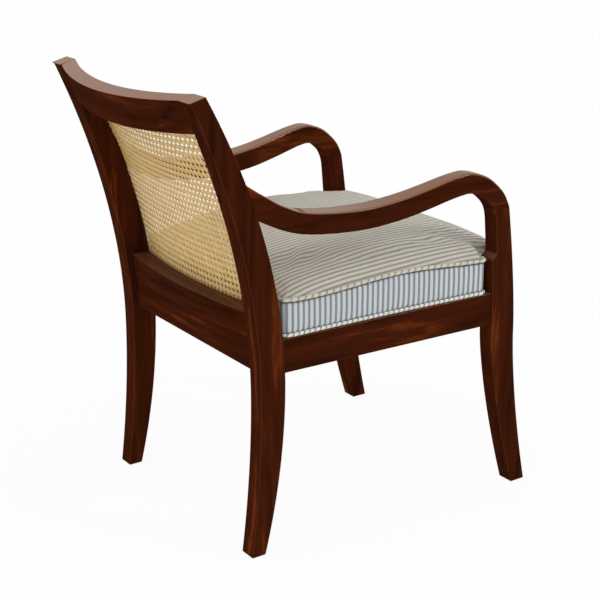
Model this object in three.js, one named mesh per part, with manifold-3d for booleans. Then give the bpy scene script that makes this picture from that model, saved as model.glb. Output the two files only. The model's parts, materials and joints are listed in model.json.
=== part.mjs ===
// Planter's armchair: sabre legs, bowed crest, scrolled arms, caned back and a boxed seat cushion.
// Millimetres, +Z up. The sitter faces -Y, "left" and "right" are the sitter's own, floor at z = 0.
import * as THREE from 'three';
import { mergeVertices } from 'three/addons/utils/BufferGeometryUtils.js';
import Module from 'manifold-3d';

const wasm = await Module();
wasm.setup();

// Overall sizes
const chairHeight = 860;
const backWidth = 516;
const frontWidth = 577;
const postToLeg = 516;

// Rear post: leg and back stile in one sawn piece
const postWidth = 36;
const postWaistHeight = 320;
const postDeepestHeight = 400;
const postLean = 142;
const postKick = 34;
const postDepthTop = 32;
const postDepthSeat = 52.5;
const postDepthFoot = 29;
const postSweepPower = 1.93;
const postTaperPower = 2.2;
const postTopSlopeShare = 0.27;

// Front leg
const legWidth = 35;
const legKneeHeight = 334;
const legDepthKnee = 58;
const legDepthShoulder = 52;
const legDepthFoot = 34.5;
const legKick = 49.5;
const legRake = 26.5;
const legKickPower = 1.55;
const legRakePower = 1.5;
const legTaperPower = 1.2;
const legShoulderHeight = 483;
const legShoulderRise = 20;
const legShoulderStep = 13;

// Arm: one scrolled piece from the post to the top of the front leg
const armJointHeight = 587;
const armDipHeight = 610.3;
const armRootRise = 54.5;
const armCrownRise = 34.3;
const armThickness = 39;
const armRootThickness = 46;
const armJointDepth = 34;
const armWaistWidth = 47;
const armTopRounding = 6;
const armSwellEndShare = 0.86;
const armSwellLead = 0.75;
const armSwellPower = 1.2;
const armRootSlope = 0.55;
const armSettleShare = 0.92;

// Crest rail and the curved rail under the cane
const crestFaceHeight = 59;
const crestBow = 41;
const caneRailTopHeight = 460;
const caneRailHeight = 47.5;
const caneRailBow = 20;
const backRailSetback = 14;

// Cane panel, and the reed spline that holds its edge in a groove
const caneThickness = 2.4;
const caneLap = 9;
const caneStandoff = 0.5;
const caneStrand = 7;
const caneCornerShare = 0.3;
const caneColumns = 12;
const caneRows = 10;
const splineWidth = 4;
const splineDepth = 5;
const splineProud = 1.2;

// Seat rails, and what lies inside the seat frame
const seatRailTop = 411.9;
const seatRise = 8.7;
const railHeight = 64;
const railThickness = 24;
const railInset = 3;
const deckThickness = 9;
const deckFit = 1;
const battenSize = 18;
const blockReach = 55;
const blockHeight = 34;
const sideScrewShare = 0.35;
const endScrewShare = 0.45;

// Joinery
const jointGap = 0.3;
const arrisRounding = 1.6;
const tenonLength = 18;
const sideTenonLength = 15;
const tenonShoulder = 7;
const caneRailTenonShoulder = 13;
const crestTenonShoulder = 10;
const dowelDiameter = 12;
const dowelLength = 50;
const screwLength = 38;
const screwBite = 15;
const screwShankDiameter = 4;
const screwHeadDiameter = 8;
const screwHeadDepth = 3;
const cutOverrun = 40;
const weldTolerance = 0.0001;
const straightCosine = -0.9;

// Seat cushion with a welt round its upper and lower edges
const cushionBoxing = 73;
const cushionSeamWave = 4.8;
const cushionWaveShare = 0.39;
const cushionEdgeRise = 24;
const cushionEdgeShare = 0.04;
const cushionEdgePower = 0.75;
const cushionDome = 15.5;
const cushionDomePower = 2.5;
const cushionSeamPower = 8;
const cushionNotchFadeShare = 0.15;
const cushionBackGap = 2;
const cushionLegGap = 12;
const cushionFrontOverhang = 8;
const cushionEdgeInset = 3.85;
const cushionCornerRadius = 14;
const cushionCornerLead = 19.6;
const cushionNotchRadius = 7;
const cushionNotchGap = 6;
const cushionDrawIn = 3;
const cushionSwell = 2.5;
const weltDiameter = 6.8;
const weltSeam = 4.5;

// How finely the curves are divided
const bowStations = 14;
const splineStations = 12;
const crossSplineStations = 20;
const armStationCount = 34;
const cushionBackSteps = 4;
const cushionSideSteps = 7;
const cushionFrontSteps = 4;
const cushionCornerSteps = 3;
const weltSides = 6;
const keySteps = 1000;

// Places worked out from the sizes
const postY = postToLeg / 2;
const legFrontAtKnee = -postToLeg / 2 - legDepthKnee / 2;
const backHalf = backWidth / 2;
const frontHalf = frontWidth / 2;
const postInnerX = backHalf - postWidth;
const legInnerX = frontHalf - legWidth;
const crestFrontBottom = chairHeight - crestFaceHeight;
const caneRailBottomHeight = caneRailTopHeight - caneRailHeight;
const weltRadius = weltDiameter / 2;

const mix = (a, b, share) => a + (b - a) * share;
const clamp01 = (share) => Math.min(1, Math.max(0, share));
const ease = (share) => share * share * (3 - 2 * share);

// Side profile of the rear post, straight at the waist and swept back above and below it
function postMidY(z) {
  if (z > postWaistHeight) {
    return postY + postLean * ((z - postWaistHeight) / (chairHeight - postWaistHeight)) ** postSweepPower;
  }
  return postY + postKick * ((postWaistHeight - z) / postWaistHeight) ** postSweepPower;
}
function postDepth(z) {
  const up = z > postDeepestHeight;
  const share = up ? (z - postDeepestHeight) / (chairHeight - postDeepestHeight) : 1 - z / postDeepestHeight;
  return mix(postDepthSeat, up ? postDepthTop : postDepthFoot, share ** postTaperPower);
}
const postFrontY = (z) => postMidY(z) - postDepth(z) / 2;
const postBackY = (z) => postMidY(z) + postDepth(z) / 2;

// Side profile of the front leg: raked above the knee, kicked forward below it, stepped above the seat
function legFrontY(z) {
  if (z > legKneeHeight) {
    const share = (z - legKneeHeight) / (armJointHeight - legKneeHeight);
    return legFrontAtKnee + legRake * share ** legRakePower;
  }
  return legFrontAtKnee - legKick * ((legKneeHeight - z) / legKneeHeight) ** legKickPower;
}
function legDepth(z) {
  if (z < legKneeHeight) {
    return mix(legDepthKnee, legDepthFoot, ((legKneeHeight - z) / legKneeHeight) ** legTaperPower);
  }
  if (z < legShoulderHeight) {
    return mix(legDepthKnee, legDepthShoulder, (z - legKneeHeight) / (legShoulderHeight - legKneeHeight));
  }
  const stalkShare = clamp01((z - legShoulderHeight) / (armJointHeight - legShoulderHeight));
  const shoulderShare = ease(clamp01((z - legShoulderHeight) / legShoulderRise));
  const stalk = mix(legDepthShoulder - legShoulderStep, armJointDepth, stalkShare);
  return mix(legDepthShoulder, stalk, shoulderShare);
}
const legBackY = (z) => legFrontY(z) + legDepth(z);

// Heights of the seat rails, which rise a little towards the front
const seatZ = (y) => seatRailTop + (seatRise * (postY - y)) / postToLeg;
const railStartY = postFrontY(seatRailTop - railHeight / 2);
const railEndY = legBackY(seatRailTop - railHeight / 2);
const sideX = (y) => mix(backHalf, frontHalf, (railStartY - y) / (railStartY - railEndY));
const railOuterX = (y) => sideX(y) - railInset;
const railInnerX = (y) => railOuterX(y) - railThickness;
const backRailBackY = postBackY(seatRailTop - railHeight / 2) - backRailSetback;
const backRailInnerY = backRailBackY - railThickness;
const frontRailFrontY = legFrontY(seatRailTop) + railInset;
const frontRailInnerY = frontRailFrontY + railThickness;

// The bow of the back: x and a height at the posts give a point on the front face of the back frame
const bowShare = (x) => Math.max(0, 1 - (x / postInnerX) ** 2);
function backFacePoint(x, h, behind) {
  const share = clamp01((h - caneRailTopHeight) / (crestFrontBottom - caneRailTopHeight));
  const bow = mix(caneRailBow, crestBow, share) * bowShare(x);
  const drop = mix(0, crestBow * postTopSlopeShare, share) * bowShare(x);
  return new THREE.Vector3(x, postFrontY(h) + bow + behind, h - drop);
}

// Mesh helpers
const steps = (count) => Array.from({ length: count + 1 }, (_, i) => i / count);
function welded(geometry) {
  const bare = geometry.clone();
  for (const name of Object.keys(bare.attributes)) {
    if (name !== 'position') bare.deleteAttribute(name);
  }
  return mergeVertices(bare, weldTolerance);
}
function toSolid(geometry) {
  const merged = welded(geometry);
  const vertProperties = new Float32Array(merged.attributes.position.array);
  const triVerts = new Uint32Array(merged.index.array);
  return new wasm.Manifold(new wasm.Mesh({ numProp: 3, vertProperties, triVerts }));
}
function fromSolid(solid) {
  const mesh = solid.getMesh();
  const geometry = new THREE.BufferGeometry();
  geometry.setAttribute('position', new THREE.BufferAttribute(mesh.vertProperties, 3));
  geometry.setIndex(new THREE.BufferAttribute(mesh.triVerts, 1));
  return geometry;
}
function cut(geometry, tools) {
  return fromSolid(tools.reduce((solid, tool) => solid.subtract(toSolid(tool)), toSolid(geometry)));
}
function join(geometry, others) {
  return fromSolid(others.reduce((solid, other) => solid.add(toSolid(other)), toSolid(geometry)));
}

// A surface from points and triangles, turned so that its faces point out
function surface(points, triangles) {
  let volume = 0;
  const cross = new THREE.Vector3();
  for (const [a, b, c] of triangles) {
    volume += points[a].dot(cross.crossVectors(points[b], points[c]));
  }
  const faces = volume < 0 ? triangles.map(([a, b, c]) => [a, c, b]) : triangles;
  const geometry = new THREE.BufferGeometry();
  const coordinates = points.flatMap((p) => [p.x, p.y, p.z]);
  geometry.setAttribute('position', new THREE.Float32BufferAttribute(coordinates, 3));
  geometry.setIndex(faces.flat());
  return geometry;
}

// A skin over rings of points; the ends are closed by flat fans, or the last ring meets the first
function loft(rings, isLoop = false) {
  const count = rings[0].length;
  const points = rings.flat();
  const triangles = [];
  const strips = isLoop ? rings.length : rings.length - 1;
  for (let r = 0; r < strips; r += 1) {
    const next = (r + 1) % rings.length;
    for (let i = 0; i < count; i += 1) {
      const j = (i + 1) % count;
      triangles.push([r * count + i, r * count + j, next * count + j]);
      triangles.push([r * count + i, next * count + j, next * count + i]);
    }
  }
  if (!isLoop) {
    for (const [start, flip] of [[0, true], [(rings.length - 1) * count, false]]) {
      const middle = new THREE.Vector3();
      for (let i = 0; i < count; i += 1) middle.addScaledVector(points[start + i], 1 / count);
      points.push(middle);
      for (let i = 0; i < count; i += 1) {
        const pair = [start + i, start + ((i + 1) % count)];
        triangles.push(flip ? [points.length - 1, pair[1], pair[0]] : [points.length - 1, pair[0], pair[1]]);
      }
    }
  }
  return surface(points, triangles);
}

// Rounded rectangle from (a0, b0) to (a1, b1) as [a, b] pairs; radii in the order of its four corners
function roundedSection(a0, b0, a1, b1, radii, facets = 2) {
  const corners = [[a0, b0, 1, 1], [a1, b0, -1, 1], [a1, b1, -1, -1], [a0, b1, 1, -1]];
  const section = [];
  corners.forEach(([a, b, da, db], k) => {
    for (const share of steps(facets)) {
      const angle = ((k + share) * Math.PI) / 2;
      const ca = a + radii[k] * da;
      const cb = b + radii[k] * db;
      section.push([ca - radii[k] * Math.cos(angle), cb - radii[k] * Math.sin(angle)]);
    }
  });
  return section;
}
const evenRadii = (radius) => [radius, radius, radius, radius];

// Box between two corners
function box(x0, x1, y0, y1, z0, z1) {
  const geometry = new THREE.BoxGeometry(Math.abs(x1 - x0), Math.abs(y1 - y0), Math.abs(z1 - z0));
  return geometry.translate((x0 + x1) / 2, (y0 + y1) / 2, (z0 + z1) / 2);
}

// Round pin between two points
function pin(from, to, diameter, sides = 12) {
  const along = new THREE.Vector3().subVectors(to, from);
  const geometry = new THREE.CylinderGeometry(diameter / 2, diameter / 2, along.length(), sides);
  const turn = new THREE.Quaternion().setFromUnitVectors(new THREE.Vector3(0, 1, 0), along.normalize());
  const middle = new THREE.Vector3().addVectors(from, to).divideScalar(2);
  return geometry.applyQuaternion(turn).translate(...middle.toArray());
}

// Plan outline drawn as [x, y] pairs and raised between two heights measured from the seat rail tops
function seatSlab(outline, below, above) {
  const shape = new THREE.Shape(outline.map(([x, y]) => new THREE.Vector2(x, y)));
  const geometry = new THREE.ExtrudeGeometry(shape, { depth: above - below, bevelEnabled: false });
  const place = geometry.attributes.position;
  for (let i = 0; i < place.count; i += 1) {
    place.setZ(i, place.getZ(i) + below + seatZ(place.getY(i)));
  }
  return geometry;
}

// The same shape on the other side of the chair
function mirrored(geometry) {
  const copy = welded(geometry);
  const place = copy.attributes.position;
  for (let i = 0; i < place.count; i += 1) place.setX(i, -place.getX(i));
  const order = copy.index.array;
  for (let i = 0; i < order.length; i += 3) [order[i], order[i + 1]] = [order[i + 1], order[i]];
  return copy;
}

// Rear post as a stack of sections; grow and overrun make the tool that trims the arm to its front face
const postShares = [
  0, 0.04, 0.1, 0.17, 0.25, 0.33, 0.41, 0.48, 0.54, 0.6, 0.66, 0.72, 0.78, 0.84, 0.9, 0.95, 1,
];
function postBody(grow, rounding, overrun) {
  const rings = postShares.map((share) => {
    const z = chairHeight * share;
    const backY = postBackY(z) + overrun;
    const section = roundedSection(
      postInnerX - grow, postFrontY(z) - grow, backHalf + grow, backY, evenRadii(rounding), 1,
    );
    const slope = share === 1 ? postTopSlopeShare : 0;
    return section.map(([x, y]) => new THREE.Vector3(x, y, z - slope * (y - postFrontY(z))));
  });
  if (overrun > 0) rings.push(rings.at(-1).map((p) => new THREE.Vector3(p.x, p.y, p.z + overrun)));
  return loft(rings);
}

// Straight rails between the posts and between the legs, each with a stub tenon at both ends
function crossRail(halfLength, frontY, backY, fit) {
  const top = seatZ(frontY);
  const bottom = top - railHeight;
  const inset = tenonShoulder - fit;
  const tenonX = halfLength + tenonLength + fit;
  const body = box(-halfLength, halfLength, frontY, backY, bottom, top);
  const tenon = box(-tenonX, tenonX, frontY + inset, backY - inset, bottom + inset, top - inset);
  return { body, tenon };
}
const backRail = crossRail(postInnerX - jointGap, backRailInnerY, backRailBackY, 0);
const backRailMortise = crossRail(postInnerX, backRailInnerY, backRailBackY, jointGap).tenon;
const frontRail = crossRail(legInnerX - jointGap, frontRailFrontY, frontRailInnerY, 0);
const frontRailMortise = crossRail(legInnerX, frontRailFrontY, frontRailInnerY, jointGap).tenon;

// Side rail: its ends follow the post and the leg, and its faces follow the widening of the seat
function sideRailBlock(outline, outerInset, innerInset) {
  const shape = new THREE.Shape(outline.map(([y, z]) => new THREE.Vector2(y, z)));
  const wholeShare = 1;
  const geometry = new THREE.ExtrudeGeometry(shape, { depth: wholeShare, bevelEnabled: false });
  const place = geometry.attributes.position;
  for (let i = 0; i < place.count; i += 1) {
    const [y, z, share] = [place.getX(i), place.getY(i), place.getZ(i)];
    place.setXYZ(i, mix(railInnerX(y) + innerInset, railOuterX(y) - outerInset, share), y, z);
  }
  return geometry;
}
function sideRailBody() {
  const levelShares = [0, 0.25, 0.5, 0.75, 1];
  const rear = levelShares.map((share) => {
    const z = seatZ(railStartY) - railHeight * share;
    return [postFrontY(z) - jointGap, z];
  });
  const front = levelShares.map((share) => {
    const z = seatZ(railEndY) - railHeight * (1 - share);
    return [legBackY(z) + jointGap, z];
  });
  return sideRailBlock([...rear, ...front], 0, 0);
}
function sideRailTenon(fit) {
  const inset = tenonShoulder - fit;
  const rearY = railStartY + sideTenonLength + fit;
  const frontY = railEndY - sideTenonLength - fit;
  const outline = [
    [rearY, seatZ(rearY) - inset], [rearY, seatZ(rearY) - railHeight + inset],
    [frontY, seatZ(frontY) - railHeight + inset], [frontY, seatZ(frontY) - inset],
  ];
  return sideRailBlock(outline, inset, inset);
}

// A piece of the bowed back: a side section carried from post to post along the bow
function bowedPiece(section, halfLength, inset = 0) {
  const count = section.length;
  const middle = section.reduce((sum, [b, h]) => [sum[0] + b / count, sum[1] + h / count], [0, 0]);
  const reach = section.map(([b, h]) => Math.hypot(b - middle[0], h - middle[1]));
  return loft(steps(bowStations).map((share) => {
    const x = mix(-halfLength, halfLength, share);
    return section.map(([behind, h], i) => {
      const shrink = 1 - inset / reach[i];
      return bowedPoint(x, mix(middle[0], behind, shrink), mix(middle[1], h, shrink), section.level);
    });
  }));
}
function bowedPoint(x, y, z, level) {
  const anchor = backFacePoint(x, level, 0);
  return new THREE.Vector3(x, y + anchor.y - postFrontY(level), z + anchor.z - level);
}

// Crest section: front and back faces carry on those of the posts
function crestSection() {
  const backTop = chairHeight - postTopSlopeShare * postDepthTop;
  const levelShares = [0, 0.5, 1];
  const front = levelShares.map((share) => {
    const z = chairHeight - crestFaceHeight * share;
    return [postFrontY(z), z];
  });
  const back = levelShares.map((share) => {
    const z = backTop - crestFaceHeight * (1 - share);
    return [postBackY(z), z];
  });
  return rounded([...front, ...back], arrisRounding, crestFrontBottom);
}
function caneRailSection() {
  const levelShares = [0, 1];
  const front = levelShares.map((share) => {
    const z = caneRailTopHeight - caneRailHeight * share;
    return [postFrontY(z), z];
  });
  const back = levelShares.map((share) => {
    const z = caneRailBottomHeight + caneRailHeight * share;
    return [postBackY(z) - backRailSetback, z];
  });
  return rounded([...front, ...back], arrisRounding, caneRailTopHeight);
}

// Corners of a section cut back by a small chamfer; level says which bow the section follows
function rounded(points, size, level) {
  const section = [];
  points.forEach((point, i) => {
    const last = points[(i + points.length - 1) % points.length];
    const next = points[(i + 1) % points.length];
    const toLast = new THREE.Vector2(last[0] - point[0], last[1] - point[1]).normalize();
    const toNext = new THREE.Vector2(next[0] - point[0], next[1] - point[1]).normalize();
    if (toLast.dot(toNext) < straightCosine) {
      section.push(point);
      return;
    }
    section.push([point[0] + toLast.x * size, point[1] + toLast.y * size]);
    section.push([point[0] + toNext.x * size, point[1] + toNext.y * size]);
  });
  section.level = level;
  return section;
}
const crestProfile = crestSection();
const caneRailProfile = caneRailSection();
const tenonTipX = postInnerX + tenonLength;
const mortiseTipX = tenonTipX + jointGap;
const crestTenon = bowedPiece(crestProfile, tenonTipX, crestTenonShoulder);
const crestMortise = bowedPiece(crestProfile, mortiseTipX, crestTenonShoulder - jointGap);
const caneRailTenon = bowedPiece(caneRailProfile, tenonTipX, caneRailTenonShoulder);
const caneRailMortise = bowedPiece(caneRailProfile, mortiseTipX, caneRailTenonShoulder - jointGap);

// Edges of the cane, measured at the posts
const splineInnerX = postInnerX + caneLap;
const splineOuterX = splineInnerX + splineWidth;
const splineTopHeight = crestFrontBottom + caneLap;
const splineBottomHeight = caneRailTopHeight - caneLap;

// Reed spline along one edge of the cane; grow makes the groove that it is pressed into
function splineStrip(points, across, grow) {
  const rings = points.map(([x, h]) => {
    const ring = [[-grow, -splineProud - grow], [splineWidth + grow, -splineProud - grow],
      [splineWidth + grow, splineDepth + grow], [-grow, splineDepth + grow]];
    return ring.map(([side, behind]) => backFacePoint(x + across[0] * side, h + across[1] * side, behind));
  });
  return loft(rings);
}
function sideSpline(grow) {
  const low = splineBottomHeight - splineWidth - grow;
  const high = splineTopHeight + splineWidth + grow;
  const stations = steps(splineStations).map((share) => [splineInnerX, mix(low, high, share)]);
  return splineStrip(stations, [1, 0], grow);
}
// Room for the cane and its splines under the root of the arm
function caneRoom() {
  const front = -caneStandoff - caneThickness - jointGap;
  const high = splineTopHeight + splineWidth + jointGap;
  const rings = steps(splineStations).map((share) => {
    const h = mix(splineBottomHeight, high, share);
    const corners = [
      [postInnerX - cutOverrun, front], [splineOuterX + jointGap, front],
      [splineOuterX + jointGap, cutOverrun], [postInnerX - cutOverrun, cutOverrun],
    ];
    return corners.map(([x, behind]) => new THREE.Vector3(x, postFrontY(h) + behind, h));
  });
  return loft(rings);
}
function crossSpline(height, grow) {
  const reach = splineInnerX - jointGap + grow;
  const stations = steps(crossSplineStations).map((share) => [mix(-reach, reach, share), height]);
  return splineStrip(stations, [0, 1], grow);
}

// Cane as a bowed net: every cell has an eight-sided gap between its strands
function caneNet() {
  const halfWidth = splineInnerX - jointGap;
  const low = splineBottomHeight + jointGap;
  const high = splineTopHeight - jointGap;
  const border = caneLap - jointGap;
  const cellWidth = (2 * (halfWidth - border)) / caneColumns;
  const cellHeight = (high - low - 2 * border) / caneRows;
  const points = [];
  const known = new Map();
  const point = (x, h, face) => {
    const key = `${Math.round(x * keySteps)} ${Math.round(h * keySteps)} ${face}`;
    if (!known.has(key)) {
      known.set(key, points.length);
      points.push(backFacePoint(x, h, -caneStandoff - (face ? caneThickness : 0)));
    }
    return known.get(key);
  };
  const triangles = [];
  const bothFaces = (corners) => {
    for (const face of [0, 1]) {
      const at = corners.map(([x, h]) => point(x, h, face));
      for (let i = 1; i < at.length - 1; i += 1) {
        triangles.push(face ? [at[0], at[i], at[i + 1]] : [at[0], at[i + 1], at[i]]);
      }
    }
  };
  const wall = (from, to) => {
    const [a, b, c, d] = [point(...from, 1), point(...to, 1), point(...to, 0), point(...from, 0)];
    triangles.push([a, b, c], [a, c, d]);
  };
  const xs = steps(caneColumns).map((share) => mix(-halfWidth + border, halfWidth - border, share));
  const hs = steps(caneRows).map((share) => mix(low + border, high - border, share));
  for (let i = 0; i < caneColumns; i += 1) {
    for (let j = 0; j < caneRows; j += 1) {
      const [x0, x1, h0, h1] = [xs[i], xs[i + 1], hs[j], hs[j + 1]];
      const p = caneStrand / 2;
      const cx = (cellWidth - caneStrand) * caneCornerShare;
      const ch = (cellHeight - caneStrand) * caneCornerShare;
      const gap = [
        [x0 + p + cx, h0 + p], [x1 - p - cx, h0 + p], [x1 - p, h0 + p + ch], [x1 - p, h1 - p - ch],
        [x1 - p - cx, h1 - p], [x0 + p + cx, h1 - p], [x0 + p, h1 - p - ch], [x0 + p, h0 + p + ch],
      ];
      const outer = [[x0, h0], [x1, h0], [x1, h1], [x0, h1]];
      for (let k = 0; k < 4; k += 1) {
        const side = [gap[2 * k], gap[2 * k + 1]];
        bothFaces([outer[k], outer[(k + 1) % 4], side[1], side[0]]);
        bothFaces([outer[k], side[0], gap[(2 * k + 7) % 8]]);
      }
      for (let k = 0; k < 8; k += 1) wall(gap[k], gap[(k + 1) % 8]);
    }
  }
  const edge = [-halfWidth, ...xs, halfWidth];
  const rise = [low, ...hs, high];
  for (let i = 0; i < edge.length - 1; i += 1) {
    for (let j = 0; j < rise.length - 1; j += 1) {
      const inside = i > 0 && i < edge.length - 2 && j > 0 && j < rise.length - 2;
      const [x0, x1, h0, h1] = [edge[i], edge[i + 1], rise[j], rise[j + 1]];
      if (!inside) bothFaces([[x0, h0], [x1, h0], [x1, h1], [x0, h1]]);
    }
  }
  for (let i = 0; i < edge.length - 1; i += 1) {
    wall([edge[i + 1], rise[0]], [edge[i], rise[0]]);
    wall([edge[i], rise.at(-1)], [edge[i + 1], rise.at(-1)]);
  }
  for (let j = 0; j < rise.length - 1; j += 1) {
    wall([edge[0], rise[j]], [edge[0], rise[j + 1]]);
    wall([edge.at(-1), rise[j + 1]], [edge.at(-1), rise[j]]);
  }
  return surface(points, triangles);
}

// Front leg as a stack of sections
function legBody() {
  const lowShares = [0, 0.09, 0.2, 0.35, 0.52, 0.7, 0.86, 1];
  const kneeShares = [0.15, 0.33, 0.6, 1];
  const shoulderShares = [0.25, 0.5, 0.75, 1];
  const stalkShares = [0.33, 0.67, 1];
  const shoulderTop = legShoulderHeight + legShoulderRise;
  const heights = [
    ...lowShares.map((share) => legKneeHeight * share),
    ...kneeShares.map((share) => mix(legKneeHeight, legShoulderHeight, share)),
    ...shoulderShares.map((share) => mix(legShoulderHeight, shoulderTop, share)),
    ...stalkShares.map((share) => mix(shoulderTop, armJointHeight - jointGap, share)),
  ];
  const radii = evenRadii(arrisRounding);
  return loft(heights.map((z) => {
    const section = roundedSection(legInnerX, legFrontY(z), frontHalf, legBackY(z), radii, 1);
    return section.map(([x, y]) => new THREE.Vector3(x, y, z));
  }));
}

// Arm centre line: shares of the run from post to leg, and of the rise above the lowest point
const armRootY = postFrontY(armDipHeight + armRootRise);
const armEndY = legFrontY(armJointHeight) + armJointDepth / 2;
const armRunShares = [
  [-0.05, 1.36, 1], [0.009, 1, 0.6], [0.087, 0.56, 0.2], [0.167, 0.24, 0], [0.28, 0.06, 0], [0.41, 0, 0],
];
const armCrownShares = [
  [0.5, 0.075, 0], [0.588, 0.25, 0], [0.678, 0.53, 0], [0.767, 0.85, 0], [0.813, 0.98, 0], [0.854, 1.03, 0],
  [0.912, 0.78, 0.4], [0.956, 0.29, 0.6], [0.986, -0.2, 0.8],
];
function armStations() {
  const run = armRootY - armEndY;
  const path = [
    ...armRunShares.map(([share, rise]) => [armRootY - run * share, armDipHeight + armRootRise * rise]),
    ...armCrownShares.map(([share, rise]) => [armRootY - run * share, armDipHeight + armCrownRise * rise]),
    [armEndY, armJointHeight],
  ];
  const depths = [
    ...armRunShares.map(([, , share]) => mix(armThickness, armRootThickness, share)),
    ...armCrownShares.map(([, , share]) => mix(armThickness, armJointDepth, share)),
    armJointDepth,
  ];
  const nodes = path.map(([y, z]) => new THREE.Vector3(0, y, z));
  const curve = new THREE.CatmullRomCurve3(nodes, false, 'centripetal');
  return steps(armStationCount).map((t) => {
    const at = curve.getPoint(t);
    const settle = clamp01((t - armSettleShare) / (1 - armSettleShare));
    const along = curve.getTangent(t).lerp(new THREE.Vector3(0, 0, -1), settle).normalize();
    const slot = Math.min(path.length - 2, Math.floor(t * (path.length - 1)));
    const depth = mix(depths[slot], depths[slot + 1], ease(t * (path.length - 1) - slot));
    const share = clamp01((armRootY - at.y) / run);
    return { at, along, depth, share };
  });
}
function armBody() {
  const rings = armStations().map(({ at, along, depth, share }) => {
    const outer = mix(backHalf, frontHalf, share);
    const ends = mix(postWidth, legWidth, share);
    const swellTurn = Math.PI * Math.min(1, share / armSwellEndShare) ** armSwellLead;
    const width = mix(ends, armWaistWidth, Math.sin(swellTurn) ** armSwellPower);
    const radii = [arrisRounding, arrisRounding, armTopRounding, armTopRounding];
    const section = roundedSection(outer - width, -depth / 2, outer, depth / 2, radii);
    return section.map(([x, up]) => new THREE.Vector3(x, at.y + along.z * up, at.z - along.y * up));
  });
  return loft(rings);
}

// Dowels at the two ends of the arm
const legMidX = frontHalf - legWidth / 2;
const postDowelX = (splineOuterX + backHalf) / 2;
const legDowel = [
  new THREE.Vector3(legMidX, armEndY, armJointHeight - dowelLength / 2),
  new THREE.Vector3(legMidX, armEndY, armJointHeight + dowelLength / 2),
];
const rootSlope = new THREE.Vector3(0, 1, armRootSlope).normalize();
const rootSeat = new THREE.Vector3(postDowelX, armRootY, armDipHeight + armRootRise);
const rootDowel = [
  rootSeat.clone().addScaledVector(rootSlope, -dowelLength / 2),
  rootSeat.clone().addScaledVector(rootSlope, dowelLength / 2 - tenonShoulder),
];
function dowelHole([from, to]) {
  const reach = new THREE.Vector3().subVectors(to, from).normalize().multiplyScalar(jointGap);
  return pin(from.clone().sub(reach), to.clone().add(reach), dowelDiameter + 2 * jointGap);
}

// Corner blocks are let round the posts and legs and screwed to both rails
const blockTop = -deckThickness - jointGap;
function cornerBlock(cornerX, cornerY, railY, inward) {
  const a = [railInnerX(cornerY) - jointGap, cornerY];
  const b = [railInnerX(cornerY + inward * blockReach) - jointGap, cornerY + inward * blockReach];
  const c = [cornerX - blockReach, railY];
  const d = [cornerX, railY];
  const e = [cornerX, cornerY];
  const slab = seatSlab([a, b, c, d, e], blockTop - blockHeight, blockTop);
  const sideY = cornerY + inward * blockReach * sideScrewShare;
  const sideTip = railInnerX(sideY) + screwBite;
  const sideZ = seatZ(sideY) + blockTop - blockHeight / 2;
  const endX = cornerX - blockReach * endScrewShare;
  const endZ = seatZ(railY) + blockTop - blockHeight / 2;
  const endTip = railY - inward * screwBite;
  const side = { tip: new THREE.Vector3(sideTip, sideY, sideZ), to: new THREE.Vector3(1, 0, 0) };
  const end = { tip: new THREE.Vector3(endX, endTip, endZ), to: new THREE.Vector3(0, -inward, 0) };
  return { slab, screws: [side, end] };
}
const rearBlock = cornerBlock(
  postInnerX - jointGap, postFrontY(seatRailTop - railHeight) - jointGap, backRailInnerY - jointGap, -1,
);
const frontBlock = cornerBlock(
  legInnerX - jointGap, legBackY(seatRailTop) + jointGap, frontRailInnerY + jointGap, 1,
);
const screwHead = ({ tip, to }) => tip.clone().addScaledVector(to, -screwLength);
function screw(place) {
  const profile = [
    [0, 0], [screwHeadDiameter / 2, 0], [screwShankDiameter / 2, screwHeadDepth],
    [screwShankDiameter / 2, screwLength - screwHeadDepth], [0, screwLength],
  ];
  const geometry = new THREE.LatheGeometry(profile.map(([r, l]) => new THREE.Vector2(r, l)), 8);
  const turn = new THREE.Quaternion().setFromUnitVectors(new THREE.Vector3(0, 1, 0), place.to);
  return geometry.applyQuaternion(turn).translate(...screwHead(place).toArray());
}
function screwHole(place) {
  const head = screwHead(place);
  const past = place.tip.clone().addScaledVector(place.to, jointGap);
  const outside = head.clone().addScaledVector(place.to, -cutOverrun);
  const seat = head.clone().addScaledVector(place.to, screwHeadDepth);
  return [
    pin(head, past, screwShankDiameter + 2 * jointGap, 8),
    pin(outside, seat, screwHeadDiameter + 2 * jointGap, 8),
  ];
}

// Battens screwed inside the rails, and the board that they carry
function sideBatten() {
  const rear = postFrontY(seatRailTop - railHeight) - blockReach - 2 * jointGap;
  const front = legBackY(seatRailTop) + blockReach + 2 * jointGap;
  const outer = (y) => [railInnerX(y) - jointGap, y];
  const inner = (y) => [railInnerX(y) - jointGap - battenSize, y];
  return seatSlab([outer(rear), inner(rear), inner(front), outer(front)], blockTop - battenSize, blockTop);
}
function crossBatten(halfLength, railY, inward) {
  const near = railY + inward * jointGap;
  const far = near + inward * battenSize;
  const outline = [[-halfLength, near], [halfLength, near], [halfLength, far], [-halfLength, far]];
  return seatSlab(outline, blockTop - battenSize, blockTop);
}
function deck() {
  const rearY = postFrontY(seatRailTop - railHeight) - deckFit;
  const frontY = legBackY(seatRailTop) + deckFit;
  const half = [
    [postInnerX - deckFit, backRailInnerY - deckFit], [postInnerX - deckFit, rearY],
    [railInnerX(rearY) - deckFit, rearY], [railInnerX(frontY) - deckFit, frontY],
    [legInnerX - deckFit, frontY], [legInnerX - deckFit, frontRailInnerY + deckFit],
  ];
  const other = half.map(([x, y]) => [-x, y]).reverse();
  return seatSlab([...half, ...other], -deckThickness, 0);
}

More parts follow.
